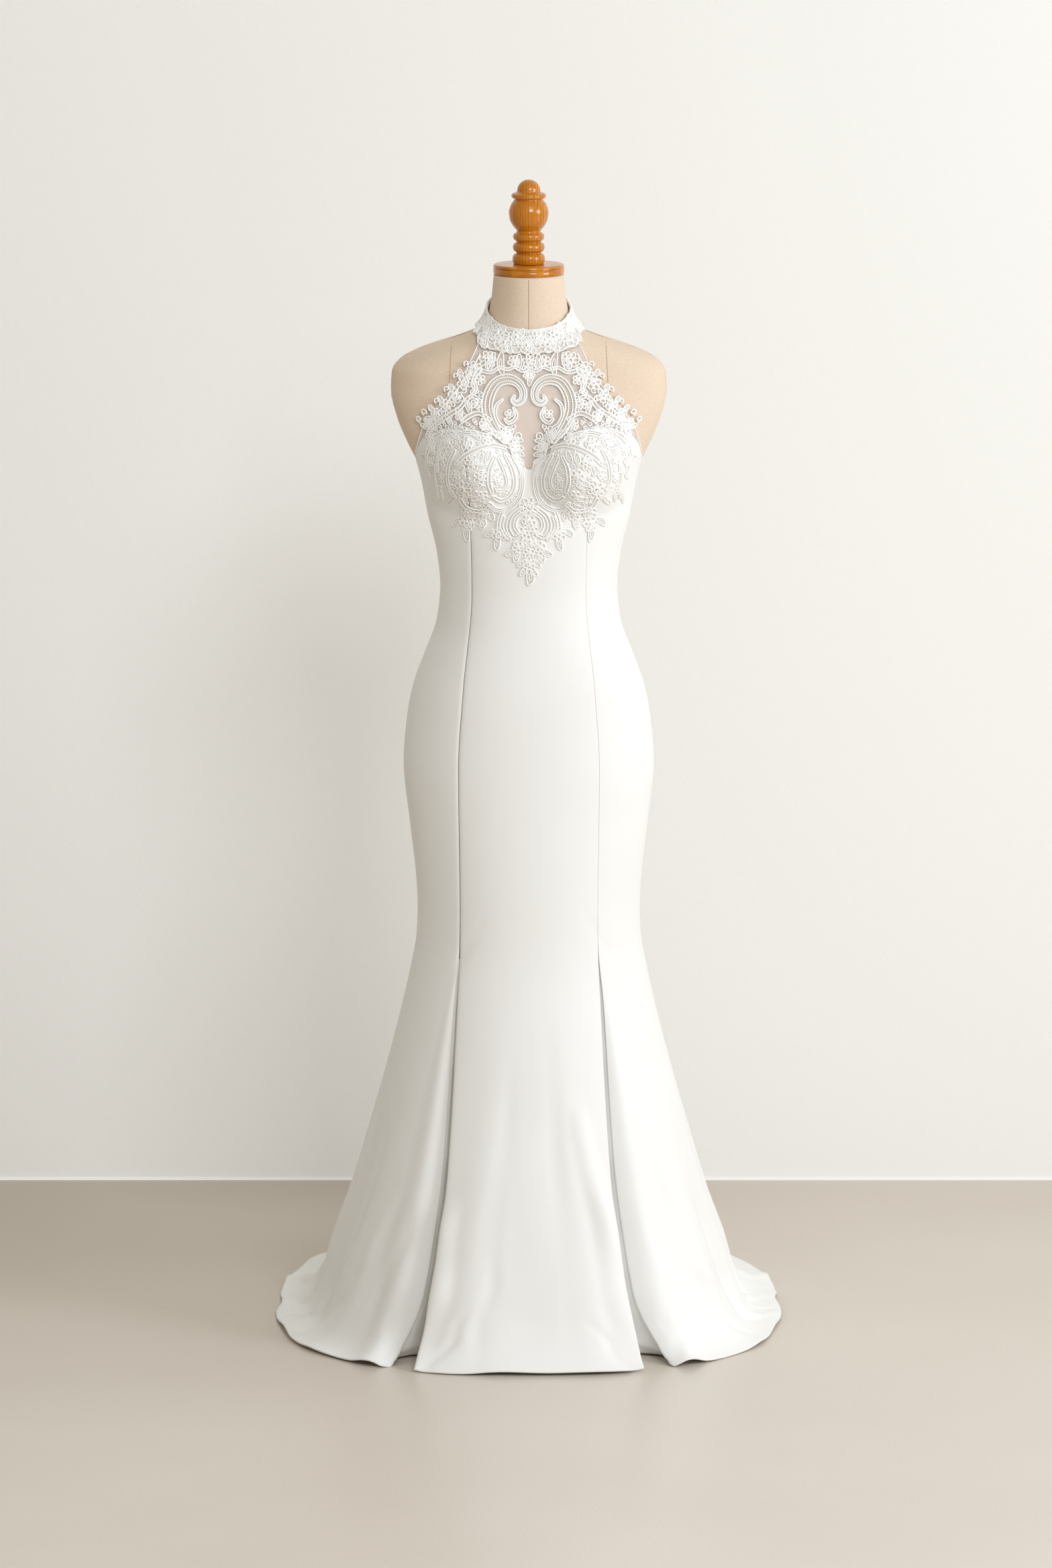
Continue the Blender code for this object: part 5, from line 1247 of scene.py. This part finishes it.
# Where small curls fill in between the motifs of the yoke, outside its two large scrolls
YOKE_GROUND = (
    (0, 1376), (0, 1349), (16, 1349), (40, 1350), (58, 1340), (68, 1318), (68, 1300), (60, 1281), (100, 1276),
    (146, 1264), (158, 1277), (134, 1294), (118, 1308), (92, 1338), (72, 1368), (60, 1377), (30, 1375),
)


def add_small_curls(work, outline, spacing, cord, rng, hands=(1, -1)):
    """Small curls and beads between the motifs, where nothing lies yet."""
    area = np.array(outline, float)
    taken = np.concatenate([line[:, :2] for line, _, _ in work.cords])
    (s0, z0), (s1, z1) = area.min(axis=0), area.max(axis=0)
    for z in np.arange(z0, z1, spacing * 0.8):
        for s in np.arange(s0, s1, spacing * 0.8):
            here = (s + rng.uniform(-1, 1), z + rng.uniform(-1, 1))
            if not inside(area, *here):
                continue
            if np.min(np.hypot(taken[:, 0] - here[0], taken[:, 1] - here[1])) < spacing * 0.36:
                continue
            start, way, radius = rng.uniform(0, 360), rng.choice([-1, 1]), spacing * rng.uniform(0.38, 0.5)
            for hand in hands:
                middle = (here[0] * hand, here[1])
                turn = start if hand > 0 else 180 - start
                add_curl(work, middle, radius, 1.1, turn, way * hand, cord * 0.8, 0.6)
                work.bead(*middle, 0.7, 1.0)
            cross = np.array([(0, 0), (1, 0), (-1, 0), (0, 1), (0, -1)])
            taken = np.concatenate([taken, here + radius * cross])


CORD_BEVEL = 0.001      # the bevel that each point of a cord makes larger or smaller


def cord_bmesh(work, place):
    """All the cords as round tubes from Blender's curve bevel, and the beads, in one bmesh."""
    curve = bpy.data.curves.new("cords", "CURVE")
    curve.dimensions = "3D"
    curve.bevel_depth = CORD_BEVEL
    curve.bevel_resolution = 1
    curve.use_fill_caps = True
    rows = np.concatenate([line for line, _, _ in work.cords])
    points = place(rows[:, 0], rows[:, 1], rows[:, 2])
    first = 0
    for line, radius, closed in work.cords:
        spline = curve.splines.new("POLY")
        spline.points.add(len(line) - 1)
        here = points[first : first + len(line)]
        spline.points.foreach_set("co", np.column_stack([here, np.ones(len(here))]).ravel())
        spline.points.foreach_set("radius", radius / 1000 / CORD_BEVEL)
        spline.use_cyclic_u = closed
        first += len(line)
    holder = bpy.data.objects.new("cords", curve)
    bpy.context.scene.collection.objects.link(holder)
    mesh = bpy.data.meshes.new_from_object(holder.evaluated_get(bpy.context.evaluated_depsgraph_get()))
    bm = bmesh.new()
    bm.from_mesh(mesh)
    bpy.data.objects.remove(holder)
    bpy.data.curves.remove(curve)
    bpy.data.meshes.remove(mesh)
    if work.beads:
        beads = np.array(work.beads)
        centres = place(beads[:, 0], beads[:, 1], beads[:, 3])
        for centre, radius in zip(centres, beads[:, 2]):
            bmesh.ops.create_icosphere(bm, subdivisions=1, radius=radius / 1000,
                                       matrix=Matrix.Translation(centre))
    return bm


def fill_bmesh(work, place):
    """The stitched fills of the motifs, with a UV map in metres for their threads."""
    bm = bmesh.new()
    for grid in work.fills:
        points = place(grid[..., 0], grid[..., 1], grid[..., 2])
        lay_grid(bm, points, uv_of(points))
    return bm


def lace_pieces(work, name, place, colours, replaced):
    """The stitched ground and the cords of one piece of lace, and the area of the ground."""
    cord = finish_of("viscose_cord", cord_finish, colours)
    # painted shade for the hollows between the stitches; over the net it also stands in for the linen seen
    # through
    hollow_shade = colours.yoke_hollow_shade_and_linen if name == "lace_yoke" else colours.lace_hollow_shade
    stitch = finish_of(name + "_knotted_stitch", stitch_and_painted_shade_finish, name + "_knotted_stitch", colours, hollow_shade)
    fills = fill_bmesh(work, place)
    area = sum(face.calc_area() for face in fills.faces)
    ground = add_piece(name + "_stitched", fills, [stitch])
    cords = add_piece(name + "_cords", cord_bmesh(work, place), [cord], replaced)
    return ground, cords, area


def neckline_height(s):
    """Height of the sweetheart edge, in millimetres, at a distance along the cloth."""
    angle = np.radians(np.linspace(0, 105, 60))
    height = TOP_CURVE(np.degrees(angle))
    return np.interp(np.abs(s), distance_along(angle, height) * 1000, height * 1000)


def make_lace(sizes, colours):
    """The corded lace of the yoke and of the bodice."""
    rng = np.random.default_rng(11)
    cord = sizes.cord * 1000
    yoke, bodice = Lacework(), Lacework()
    for rows in SCROLLS:
        s, z = np.mean([row[:2] for row in rows], axis=0)
        work = yoke if z > neckline_height(s) else bodice
        for hand in (1, -1):
            if hand > 0 or max(row[0] for row in rows) > 0:
                add_scroll(work, rows, hand, cord)
    for s, z, radius, petals in FLOWERS:
        work = yoke if z > neckline_height(s) else bodice
        for hand in (1, -1) if s else (1,):
            add_flower(work, s * hand, z, radius, petals, cord * 0.9, rng)
    for s, z, length, width, pointing in LEAVES:
        work = yoke if z > neckline_height(s) else bodice
        for hand in (1, -1) if s else (1,):
            add_leaf(work, s * hand, z, length, width, pointing, cord * 0.85, rng, hand)
    for s, z, radius, turns, start, way in CURLS:
        for hand in (1, -1):
            begin = start if hand > 0 else 180 - start
            add_curl(yoke, (s * hand, z), radius, turns, begin, way * hand, cord, 0.9)
    add_small_curls(bodice, GROUND, 7.6, cord, rng)
    add_small_curls(yoke, YOKE_GROUND, 8.4, cord, rng)
    angle, level = net_points()
    for hand in (1, -1):
        edge = distance_along(angle[:, -1], level[:, -1]) * 1000 - 0.6
        yoke.cord(np.column_stack([edge * hand, level[:, -1] * 1000]), 0.75, 0.5)
    for work, name in ((yoke, "lace_yoke"), (bodice, "lace_bodice")):
        ground, cords, area = lace_pieces(work, name, dress_place, colours, [name])


def make_collar(sizes, colours):
    """The standing collar: a white band with rosettes and curls over it, and a corded upper edge."""
    angle = np.radians(np.linspace(-179.6, 179.6, 181))[None, :]
    share = np.linspace(0, 1, 14)[:, None]
    degrees = np.abs(np.degrees(angle))
    level = COLLAR_UPPER(degrees) * (1 - share) + COLLAR_LOWER(degrees) * share
    points = skin(angle, level) + skin_normal(angle, level) * COLLAR_LIFT
    bm = bmesh.new()
    lay_grid(bm, points, uv_of(points))
    # the collar's stitches, with painted shade in their hollows
    stitch = finish_of("collar_ground", stitch_and_painted_shade_finish, "collar_ground", colours, colours.lace_hollow_shade)
    band = give_wall(add_piece("collar_band", bm, [stitch], ["collar"]), sizes.cloth)
    rng = np.random.default_rng(5)
    work = Lacework()
    cord = sizes.cord * 1000
    end = COLLAR_ROUND * math.radians(176)
    s = np.linspace(-end, end, 400)
    deg = np.abs(np.degrees(s / COLLAR_ROUND))
    top = (COLLAR_UPPER(deg) - COLLAR_LOWER(deg)) * 1000
    for height, radius in ((top - 0.4, 1.25), (top - 2.6, 1.05), (1.6 + 1.4 * np.sin(s / 2.1), 1.05)):
        work.cord(np.column_stack([s, height]), radius, 0.45)
    for i, s in enumerate(np.arange(-end + 8, end - 6, 13.6)):
        deg = abs(math.degrees(s / COLLAR_ROUND))
        tall = float(COLLAR_UPPER(deg) - COLLAR_LOWER(deg)) * 1000
        high = tall * (0.64 if i % 2 else 0.36)
        add_flower(work, s, high, min(10.0, tall * 0.33), 6 if i % 2 else 5, cord * 0.95, rng)
        other = tall - high
        add_curl(work, (s + 1, other), tall * 0.18, 1.3, rng.uniform(0, 360), 1 if i % 2 else -1, cord, 0.8)
        add_leaf(work, s + 6, high, 13, 7, 70 if i % 2 else -70, cord * 0.9, rng, 1)
        add_curl(work, (s + 8, tall * 0.5), tall * 0.15, 1.2, rng.uniform(0, 360), -1, cord * 0.95, 0.8)
        work.bead(s + 1, other, 0.8, 1.2)
    add_small_curls(work, ((-end, 2), (end, 2), (end, 30), (-end, 30)), 7.4, cord, rng, (1,))
    ground, cords, _ = lace_pieces(work, "collar", collar_place, colours, [])


# The covered buttons

# A covered button from its top: shares of its radius and of its height
BUTTON = ((0.0, 1.0), (0.42, 0.95), (0.74, 0.76), (0.95, 0.46), (1.0, 0.26), (0.93, 0.08), (0.80, 0.0))
BUTTON_RADIUS, BUTTON_HEIGHT = 0.0055, 0.0042
BUTTON_SINK = 0.0021    # from the middle of a button down to its foot
LOOP_RADIUS = 0.0062    # of the loop of cord round a button
LOOP_CORD = 0.75        # radius of that cord, in millimetres


def dome(bm, middle, out, radius, height):
    """A covered button: a dome on a foot, spun round its own axis and turned to face outwards."""
    verts = [bm.verts.new((radius * r, 0.0, height * h)) for r, h in BUTTON]
    edges = [bm.edges.new(pair) for pair in zip(verts, verts[1:])]
    bmesh.ops.spin(bm, geom=verts + edges, cent=(0, 0, 0), axis=(0, 0, 1), steps=16, angle=2 * math.pi,
                   use_merge=True)
    made = {v for v in bm.verts if v.tag is False}
    for vert in made:
        vert.tag = True
    bmesh.ops.remove_doubles(bm, verts=list(made), dist=1e-6)
    turned = Vector(out).to_track_quat("Z", "Y").to_matrix().to_4x4()
    made = [v for v in made if v.is_valid]
    bmesh.ops.transform(bm, matrix=Matrix.Translation(middle) @ turned, verts=made)


def make_buttons(sizes, colours):
    """The covered buttons at the centre back and at the nape, each with its loop of cord."""
    crepe = finish_of("polyester_crepe", crepe_finish, colours)
    cord = finish_of("viscose_cord", cord_finish, colours)
    groups = (
        ("back_buttons", [f"back_button_{i:02d}" for i in range(1, 11)], 0.0062),
        ("collar_buttons", ["collar_button_1", "collar_button_2"], 0.0070),
    )
    for name, nodes, reach in groups:
        bm = bmesh.new()
        loops = Lacework()
        for node in nodes:
            low, high = (np.array(corner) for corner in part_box(node))
            middle = (low + high) / 2
            angle = math.atan2(middle[0], -middle[1])
            out = skin_normal(np.array(angle), np.array(middle[2]))
            foot = middle - out * BUTTON_SINK
            dome(bm, foot, out, BUTTON_RADIUS, BUTTON_HEIGHT)
            side = np.cross((0.0, 0.0, 1.0), out)
            side /= np.linalg.norm(side)
            turn = np.radians(np.linspace(-150, 150, 15))
            ring = [foot + out * 0.0009 + side * (LOOP_RADIUS * np.cos(t) - 0.0004)
                    + np.array((0, 0, LOOP_RADIUS)) * np.sin(t) for t in turn]
            tail = foot - side * reach * 1.9 + out * 0.0006
            loops.cords.append((np.array([tail + (0, 0, 0.0012), *ring[::-1], tail - (0, 0, 0.0012)]) * 1000,
                                np.full(len(ring) + 2, LOOP_CORD), False))
        buttons = add_piece(name + "_covered", bm, [crepe], nodes)
        face_outwards(buttons)
        add_piece(name + "_loops", cord_bmesh(loops, in_space), [cord])


def face_outwards(piece):
    """Turns every face of a closed piece outwards."""
    bm = bmesh.new()
    bm.from_mesh(piece.data)
    bmesh.ops.recalc_face_normals(bm, faces=bm.faces)
    bm.to_mesh(piece.data)
    bm.free()


# The form and its stand

# The sewn seams of the form's linen: where the front, the back, the side and the shoulder ones begin and end
FRONT_SEAM = (NECK_TOP - 0.001, 1.39)
BACK_SEAM = (NECK_TOP - 0.001, 0.71)
SIDE_SEAM = (1.40, 0.71)
SHOULDER_SEAM = (1.386, 1.25)
SHOULDER_PLACE = (0.106, 0.112)     # distance of the shoulder seam from the middle, at its two ends
LINEN_SEAM = 0.5                    # radius of a seam's ridge, in millimetres


def make_torso(sizes, colours):
    """The padded torso in its linen cover, closed at the hip and under the cap."""
    angle = np.radians(np.linspace(-180, 180, 145))[None, :]
    level = np.concatenate([np.linspace(NECK_TOP, 1.34, 40), np.linspace(1.337, FORM_BOTTOM, 90)])[:, None]
    points = skin(angle, level) - skin_normal(angle, level) * FORM_INSET
    points[0, :, 2] = NECK_TOP
    points[-1, :, 2] = FORM_BOTTOM
    bm = bmesh.new()
    verts = lay_grid(bm, points, uv_of(points))
    bmesh.ops.remove_doubles(bm, verts=verts, dist=1e-6)
    rim = [edge for edge in bm.edges if edge.is_boundary]
    bmesh.ops.holes_fill(bm, edges=rim, sides=0)
    linen = finish_of("woven_linen", linen_finish, colours)
    add_piece("torso_linen", bm, [linen], ["form_torso"])
    seams = Lacework()
    lines = [[(0.0, z) for z in np.linspace(*FRONT_SEAM, 20)],
             [(math.pi, z) for z in np.linspace(*BACK_SEAM, 90)]]
    for hand in (1, -1):
        places = zip(np.linspace(*SHOULDER_PLACE, 30), np.linspace(*SHOULDER_SEAM, 30))
        front = [(float(angle_at(hand * x, z)), z) for x, z in places]
        lines.append(front)
        lines.append([(math.pi * hand - a, z) for a, z in front])
        lines.append([(hand * math.pi / 2, z) for z in np.linspace(*SIDE_SEAM, 60)])
    for line in lines:
        a, z = np.array(line).T
        where = skin(a, z) - skin_normal(a, z) * (FORM_INSET + 0.0001)
        seams.cords.append((where * 1000, np.full(len(line), LINEN_SEAM), False))
    seam = finish_of("linen_seam_painted_shade", seam_and_painted_shade_finish, colours)
    add_piece("torso_seams", cord_bmesh(seams, in_space), [seam])


def spin_outline(name, outline, steps, finish, node):
    """A turned piece: its outline, top to bottom, spun round the axis of the stand."""
    bm = bmesh.new()
    verts = [bm.verts.new((radius, 0.0, height)) for radius, height in outline]
    edges = [bm.edges.new(pair) for pair in zip(verts, verts[1:])]
    bmesh.ops.spin(bm, geom=verts + edges, cent=(0, 0, 0), axis=(0, 0, 1), steps=steps, angle=2 * math.pi,
                   use_merge=True)
    bmesh.ops.remove_doubles(bm, verts=bm.verts, dist=1e-6)
    bmesh.ops.recalc_face_normals(bm, faces=bm.faces)
    return add_piece(name, bm, [finish], [node])


def rounded(outline, samples=4):
    """The same outline with more points, on a smooth curve, but for its first and last."""
    table = np.array(outline, float)
    path = smooth_rows(np.column_stack([table, np.zeros(len(table))]), samples)[:, :2]
    path[:, 0] = np.maximum(path[:, 0], 0.0)
    return [tuple(row) for row in path]


CAP_RADIUS, CAP_THICKNESS, CAP_EDGE = 0.0485, 0.0140, 0.0030
CAP_GROOVE, GROOVE_DEPTH = 0.0046, 0.0014       # the groove under the cap's top edge, and how deep it is
POLE_RADIUS, POLE_FOOT = 0.0140, 0.060
CAP_BOTTOM = NECK_TOP + SEAM_GAP
FINIAL_BOTTOM = CAP_BOTTOM + CAP_THICKNESS + SEAM_GAP
# The finial from its top: radius, and height above its foot
FINIAL = (
    (0.0, 0.1150), (0.0045, 0.1146), (0.0080, 0.1130), (0.0115, 0.1105), (0.0135, 0.1080), (0.0155, 0.1035),
    (0.0164, 0.0985), (0.0195, 0.0972), (0.0226, 0.0958), (0.0238, 0.0930), (0.0226, 0.0902), (0.0195, 0.0888),
    (0.0205, 0.0865), (0.0236, 0.0825), (0.0255, 0.0780), (0.0268, 0.0740), (0.0272, 0.0700), (0.0268, 0.0650),
    (0.0258, 0.0600), (0.0238, 0.0552), (0.0210, 0.0510), (0.0180, 0.0474), (0.0162, 0.0450), (0.0176, 0.0426),
    (0.0206, 0.0404), (0.0214, 0.0370), (0.0204, 0.0334), (0.0170, 0.0308), (0.0170, 0.0296), (0.0206, 0.0270),
    (0.0218, 0.0225), (0.0206, 0.0182), (0.0170, 0.0157), (0.0170, 0.0146), (0.0200, 0.0130), (0.0217, 0.0105),
    (0.0223, 0.0075), (0.0221, 0.0045), (0.0211, 0.0012), (0.0203, 0.0),
)


def make_stand(sizes, colours):
    """The turned cap and finial, and the pole and base under the skirt."""
    top, low = CAP_BOTTOM + CAP_THICKNESS, CAP_BOTTOM
    arc = np.radians(np.linspace(90, 0, 6))
    cap = [(0.0, top), (0.026, top)]
    cap += [(CAP_RADIUS - CAP_EDGE + CAP_EDGE * math.cos(a), top - CAP_EDGE + CAP_EDGE * math.sin(a))
            for a in arc]
    groove = top - CAP_GROOVE
    cap += [(CAP_RADIUS, groove + 0.0009), (CAP_RADIUS - GROOVE_DEPTH, groove + 0.0004),
            (CAP_RADIUS - GROOVE_DEPTH, groove - 0.0004), (CAP_RADIUS, groove - 0.0009)]
    cap += [(CAP_RADIUS - CAP_EDGE + CAP_EDGE * math.cos(a), low + CAP_EDGE - CAP_EDGE * math.sin(a))
            for a in arc[::-1]]
    cap += [(0.0, low)]
    wood = finish_of("lacquered_beech_cap", wood_finish, "lacquered_beech_cap", 0, colours)
    spin_outline("neck_cap_turned", cap, 72, wood, "neck_cap")
    outline = rounded([(r, FINIAL_BOTTOM + h) for r, h in FINIAL], 3) + [(0.0, FINIAL_BOTTOM)]
    outline[0] = (0.0, outline[0][1])
    wood = finish_of("lacquered_beech", wood_finish, "lacquered_beech", 2, colours)
    spin_outline("finial_turned", outline, 56, wood, "finial")
    steel = finish_of("powder_coated_steel", steel_finish)
    pole_top, pole_foot, radius = FORM_BOTTOM - SEAM_GAP, POLE_FOOT + SEAM_GAP, POLE_RADIUS
    pole = [(0.0, pole_top), (radius - 0.001, pole_top), (radius, pole_top - 0.001), (radius, 0.36),
            (radius, 0.3594), (radius, pole_foot + 0.001), (radius - 0.001, pole_foot), (0.0, pole_foot)]
    spin_outline("stand_pole_steel", pole, 40, steel, "stand_pole")
    base = [(0.0, POLE_FOOT), (0.0270, POLE_FOOT), (0.0305, 0.0588), (0.0320, 0.0555), (0.0320, 0.0320),
            (0.0340, 0.0262), (0.0420, 0.0240), (0.1580, 0.0185), (0.1660, 0.0160), (0.1695, 0.0115),
            (0.1700, 0.0070), (0.1700, 0.0008), (0.1692, 0.0), (0.0, 0.0)]
    spin_outline("stand_base_steel", base, 72, steel, "stand_base")


# The stage

CAMERA_PLACE = (-0.0037, -11.8177, 2.8508)
CAMERA_AIM = (-0.0037, 0.0, 0.767)
CAMERA_LENS, CAMERA_SENSOR, CAMERA_REACH = 199.8, 36.0, 60.0
WALL_PLACE = 0.933
SKIRTING = 0.004        # height and depth of the bevelled strip at the foot of the wall
SKY_COLOUR, SKY_STRENGTH = "#F0E9DD", 0.51
# Lights: name, place, aim, width and height, power, colour
LIGHTS = (
    ("key", (5.2, -3.0, 2.8), (0, 0, 0.9), (2.0, 2.6), 186, "#F0F5FF"),
    ("front", (1.3, -4.6, 3.8), (0, 0, 1.1), (1.6, 1.4), 100, "#F4F8FF"),
)


def add_area_light(name, place, aim, size, power, colour):
    """A soft box at a place, turned to what it lights."""
    lamp = bpy.data.lights.new(name, "AREA")
    lamp.shape = "RECTANGLE"
    lamp.size, lamp.size_y = size
    lamp.energy = power
    lamp.color = colour_of(colour)[:3]
    made = bpy.data.objects.new(name, lamp)
    bpy.context.scene.collection.objects.link(made)
    made.location = place
    made.rotation_euler = (Vector(aim) - Vector(place)).to_track_quat("-Z", "Y").to_euler()


def add_plane(name, corner, across, up, finish):
    """A flat part of the stage from one corner along two directions."""
    bm = bmesh.new()
    corner, across, up = (np.array(v, float) for v in (corner, across, up))
    share = np.linspace(0, 1, 3)
    points = corner + across * share[None, :, None] + up * share[::-1][:, None, None]
    lay_grid(bm, points)
    mesh = bpy.data.meshes.new(name)
    bm.to_mesh(mesh)
    bm.free()
    mesh.materials.append(finish)
    made = bpy.data.objects.new(name, mesh)
    bpy.context.scene.collection.objects.link(made)


def make_stage(sizes, colours):
    """Pale floor and wall, a key light from the right, a smaller one in front, and the camera."""
    add_plane("floor", (-9, -14, 0), (18, 0, 0), (0, 23, 0), floor_finish(colours))
    plaster = wall_finish(colours)
    add_plane("wall", (-9, WALL_PLACE, 0), (18, 0, 0), (0, 0, 7), plaster)
    add_plane("skirting", (-9, WALL_PLACE - SKIRTING, 0), (18, 0, 0), (0, SKIRTING, SKIRTING), plaster)
    world = bpy.data.worlds.new("studio")
    bpy.context.scene.world = world
    world.use_nodes = True
    sky = world.node_tree.nodes["Background"]
    sky.inputs["Color"].default_value = colour_of(SKY_COLOUR)
    sky.inputs["Strength"].default_value = SKY_STRENGTH
    for light in LIGHTS:
        add_area_light(*light)
    lens = bpy.data.cameras.new("camera")
    lens.lens, lens.sensor_width, lens.clip_end = CAMERA_LENS, CAMERA_SENSOR, CAMERA_REACH
    camera = bpy.data.objects.new("camera", lens)
    bpy.context.scene.collection.objects.link(camera)
    camera.location = CAMERA_PLACE
    camera.rotation_euler = (Vector(CAMERA_AIM) - Vector(CAMERA_PLACE)).to_track_quat("-Z", "Y").to_euler()
    bpy.context.scene.camera = camera
    bpy.context.scene.view_settings.view_transform = "Standard"


# The add-on

class DressSizes(bpy.types.PropertyGroup):
    """Sizes of the cloth and cord that a user may change."""
    cloth: bpy.props.FloatProperty(
        name="Crepe", description="Thickness of the crepe", default=0.0018, min=0.0008, max=0.002,
        precision=4, unit="LENGTH")
    net: bpy.props.FloatProperty(
        name="Net", description="Thickness of the tulle", default=0.0003, min=0.0002, max=0.001,
        precision=4, unit="LENGTH")
    cord: bpy.props.FloatProperty(
        name="Cord", description="Radius of the lace's main cord", default=0.00130, min=0.0005, max=0.0015,
        precision=4, unit="LENGTH")
    seam_roll: bpy.props.FloatProperty(
        name="Seam roll", description="How far the crepe turns in beside a seam", default=0.0011, min=0.0,
        max=0.0013, precision=4, unit="LENGTH")
    creases: bpy.props.FloatProperty(
        name="Creases", description="How strong the soft creases are", default=1.0, min=0.0, max=1.5)


def colour_property(name, description, code):
    """A colour that a user may change, from its hex value."""
    return bpy.props.FloatVectorProperty(
        name=name, description=description, subtype="COLOR", size=3, min=0.0, max=1.0,
        default=colour_of(code)[:3])


class DressColours(bpy.types.PropertyGroup):
    """Colours of the finishes that a user may change."""
    crepe: colour_property("Crepe", "Lighter tone of the crepe", "#F3F4F1")
    crepe_shade: colour_property("Crepe shade", "Darker tone of the crepe", "#EFEEEA")
    lace: colour_property("Lace", "Lighter tone of the cord", "#FDFDFB")
    lace_shade: colour_property("Lace shade", "Darker tone of the cord", "#F7F6F2")
    # painted shade in the hollows between the stitches; over the net it also stands for the linen seen through
    # the tulle
    lace_hollow_shade: colour_property("Stitch hollows", "Hollows of the stitches over crepe", "#DFDBD4")
    yoke_hollow_shade_and_linen: colour_property("Yoke hollows", "Hollows of the stitches over net", "#D0C3B4")
    net: colour_property("Net", "Colour of the tulle", "#FBF5F2")
    linen: colour_property("Linen", "Lighter tone of the linen", "#EDDBC6")
    linen_shade: colour_property("Linen shade", "Darker tone of the linen", "#D6BFA4")
    wood: colour_property("Wood", "Lighter tone of the stained beech", "#CF8212")
    wood_dark: colour_property("Wood grain", "Darker tone of the stained beech", "#9A5608")
    floor: colour_property("Floor", "Colour of the floor", "#DED5C9")
    wall: colour_property("Wall", "Colour of the wall", "#F9F9F5")


class DRESS_OT_panels(bpy.types.Operator):
    """Lay the seven crepe panels and their creases"""
    bl_idname = "dress.panels"
    bl_label = "Crepe panels"
    bl_options = {"REGISTER", "UNDO"}

    def execute(self, context):
        make_panels(context.scene.dress_sizes, context.scene.dress_colours)
        return {"FINISHED"}


class DRESS_OT_godets(bpy.types.Operator):
    """Set the godets into the front seams"""
    bl_idname = "dress.godets"
    bl_label = "Godets"
    bl_options = {"REGISTER", "UNDO"}

    def execute(self, context):
        make_godets(context.scene.dress_sizes, context.scene.dress_colours)
        return {"FINISHED"}


class DRESS_OT_net(bpy.types.Operator):
    """Stretch the tulle of the yoke"""
    bl_idname = "dress.net"
    bl_label = "Yoke net"
    bl_options = {"REGISTER", "UNDO"}

    def execute(self, context):
        make_net(context.scene.dress_sizes, context.scene.dress_colours)
        return {"FINISHED"}


class DRESS_OT_lace(bpy.types.Operator):
    """Cord, stitch and bead the lace of the yoke and bodice"""
    bl_idname = "dress.lace"
    bl_label = "Corded lace"
    bl_options = {"REGISTER", "UNDO"}

    def execute(self, context):
        make_lace(context.scene.dress_sizes, context.scene.dress_colours)
        return {"FINISHED"}


class DRESS_OT_collar(bpy.types.Operator):
    """Make the standing lace collar"""
    bl_idname = "dress.collar"
    bl_label = "Lace collar"
    bl_options = {"REGISTER", "UNDO"}

    def execute(self, context):
        make_collar(context.scene.dress_sizes, context.scene.dress_colours)
        return {"FINISHED"}


class DRESS_OT_buttons(bpy.types.Operator):
    """Cover the buttons and tie their loops"""
    bl_idname = "dress.buttons"
    bl_label = "Covered buttons"
    bl_options = {"REGISTER", "UNDO"}

    def execute(self, context):
        make_buttons(context.scene.dress_sizes, context.scene.dress_colours)
        return {"FINISHED"}


class DRESS_OT_torso(bpy.types.Operator):
    """Cover the torso in linen and sew its seams"""
    bl_idname = "dress.torso"
    bl_label = "Linen torso"
    bl_options = {"REGISTER", "UNDO"}

    def execute(self, context):
        make_torso(context.scene.dress_sizes, context.scene.dress_colours)
        return {"FINISHED"}


class DRESS_OT_stand(bpy.types.Operator):
    """Turn the cap, finial, pole and base"""
    bl_idname = "dress.stand"
    bl_label = "Cap, finial and stand"
    bl_options = {"REGISTER", "UNDO"}

    def execute(self, context):
        make_stand(context.scene.dress_sizes, context.scene.dress_colours)
        return {"FINISHED"}


class DRESS_OT_stage(bpy.types.Operator):
    """Set the floor, wall, lights and camera"""
    bl_idname = "dress.stage"
    bl_label = "Studio"
    bl_options = {"REGISTER", "UNDO"}

    def execute(self, context):
        make_stage(context.scene.dress_sizes, context.scene.dress_colours)
        return {"FINISHED"}


OPERATORS = (
    DRESS_OT_panels, DRESS_OT_godets, DRESS_OT_net, DRESS_OT_lace, DRESS_OT_collar, DRESS_OT_buttons,
    DRESS_OT_torso, DRESS_OT_stand, DRESS_OT_stage,
)


class VIEW3D_PT_dress(bpy.types.Panel):
    """Lists the pieces, sizes and colours of the dress"""
    bl_label = "Mermaid dress"
    bl_space_type = "VIEW_3D"
    bl_region_type = "UI"
    bl_category = "Dress"

    def draw(self, context):
        for operator in OPERATORS:
            self.layout.operator(operator.bl_idname)
        for group in (context.scene.dress_sizes, context.scene.dress_colours):
            for name in group.bl_rna.properties.keys():
                if name not in ("rna_type", "name"):
                    self.layout.prop(group, name)


CLASSES = (DressSizes, DressColours, *OPERATORS, VIEW3D_PT_dress)


def register():
    for made in CLASSES:
        bpy.utils.register_class(made)
    bpy.types.Scene.dress_sizes = bpy.props.PointerProperty(type=DressSizes)
    bpy.types.Scene.dress_colours = bpy.props.PointerProperty(type=DressColours)


def unregister():
    del bpy.types.Scene.dress_colours
    del bpy.types.Scene.dress_sizes
    for made in reversed(CLASSES):
        bpy.utils.unregister_class(made)


def main():
    register()
    bpy.ops.dress.panels()
    bpy.ops.dress.godets()
    bpy.ops.dress.net()
    bpy.ops.dress.lace()
    bpy.ops.dress.collar()
    bpy.ops.dress.buttons()
    bpy.ops.dress.torso()
    bpy.ops.dress.stand()
    bpy.ops.dress.stage()


if __name__ == "__main__":
    main()
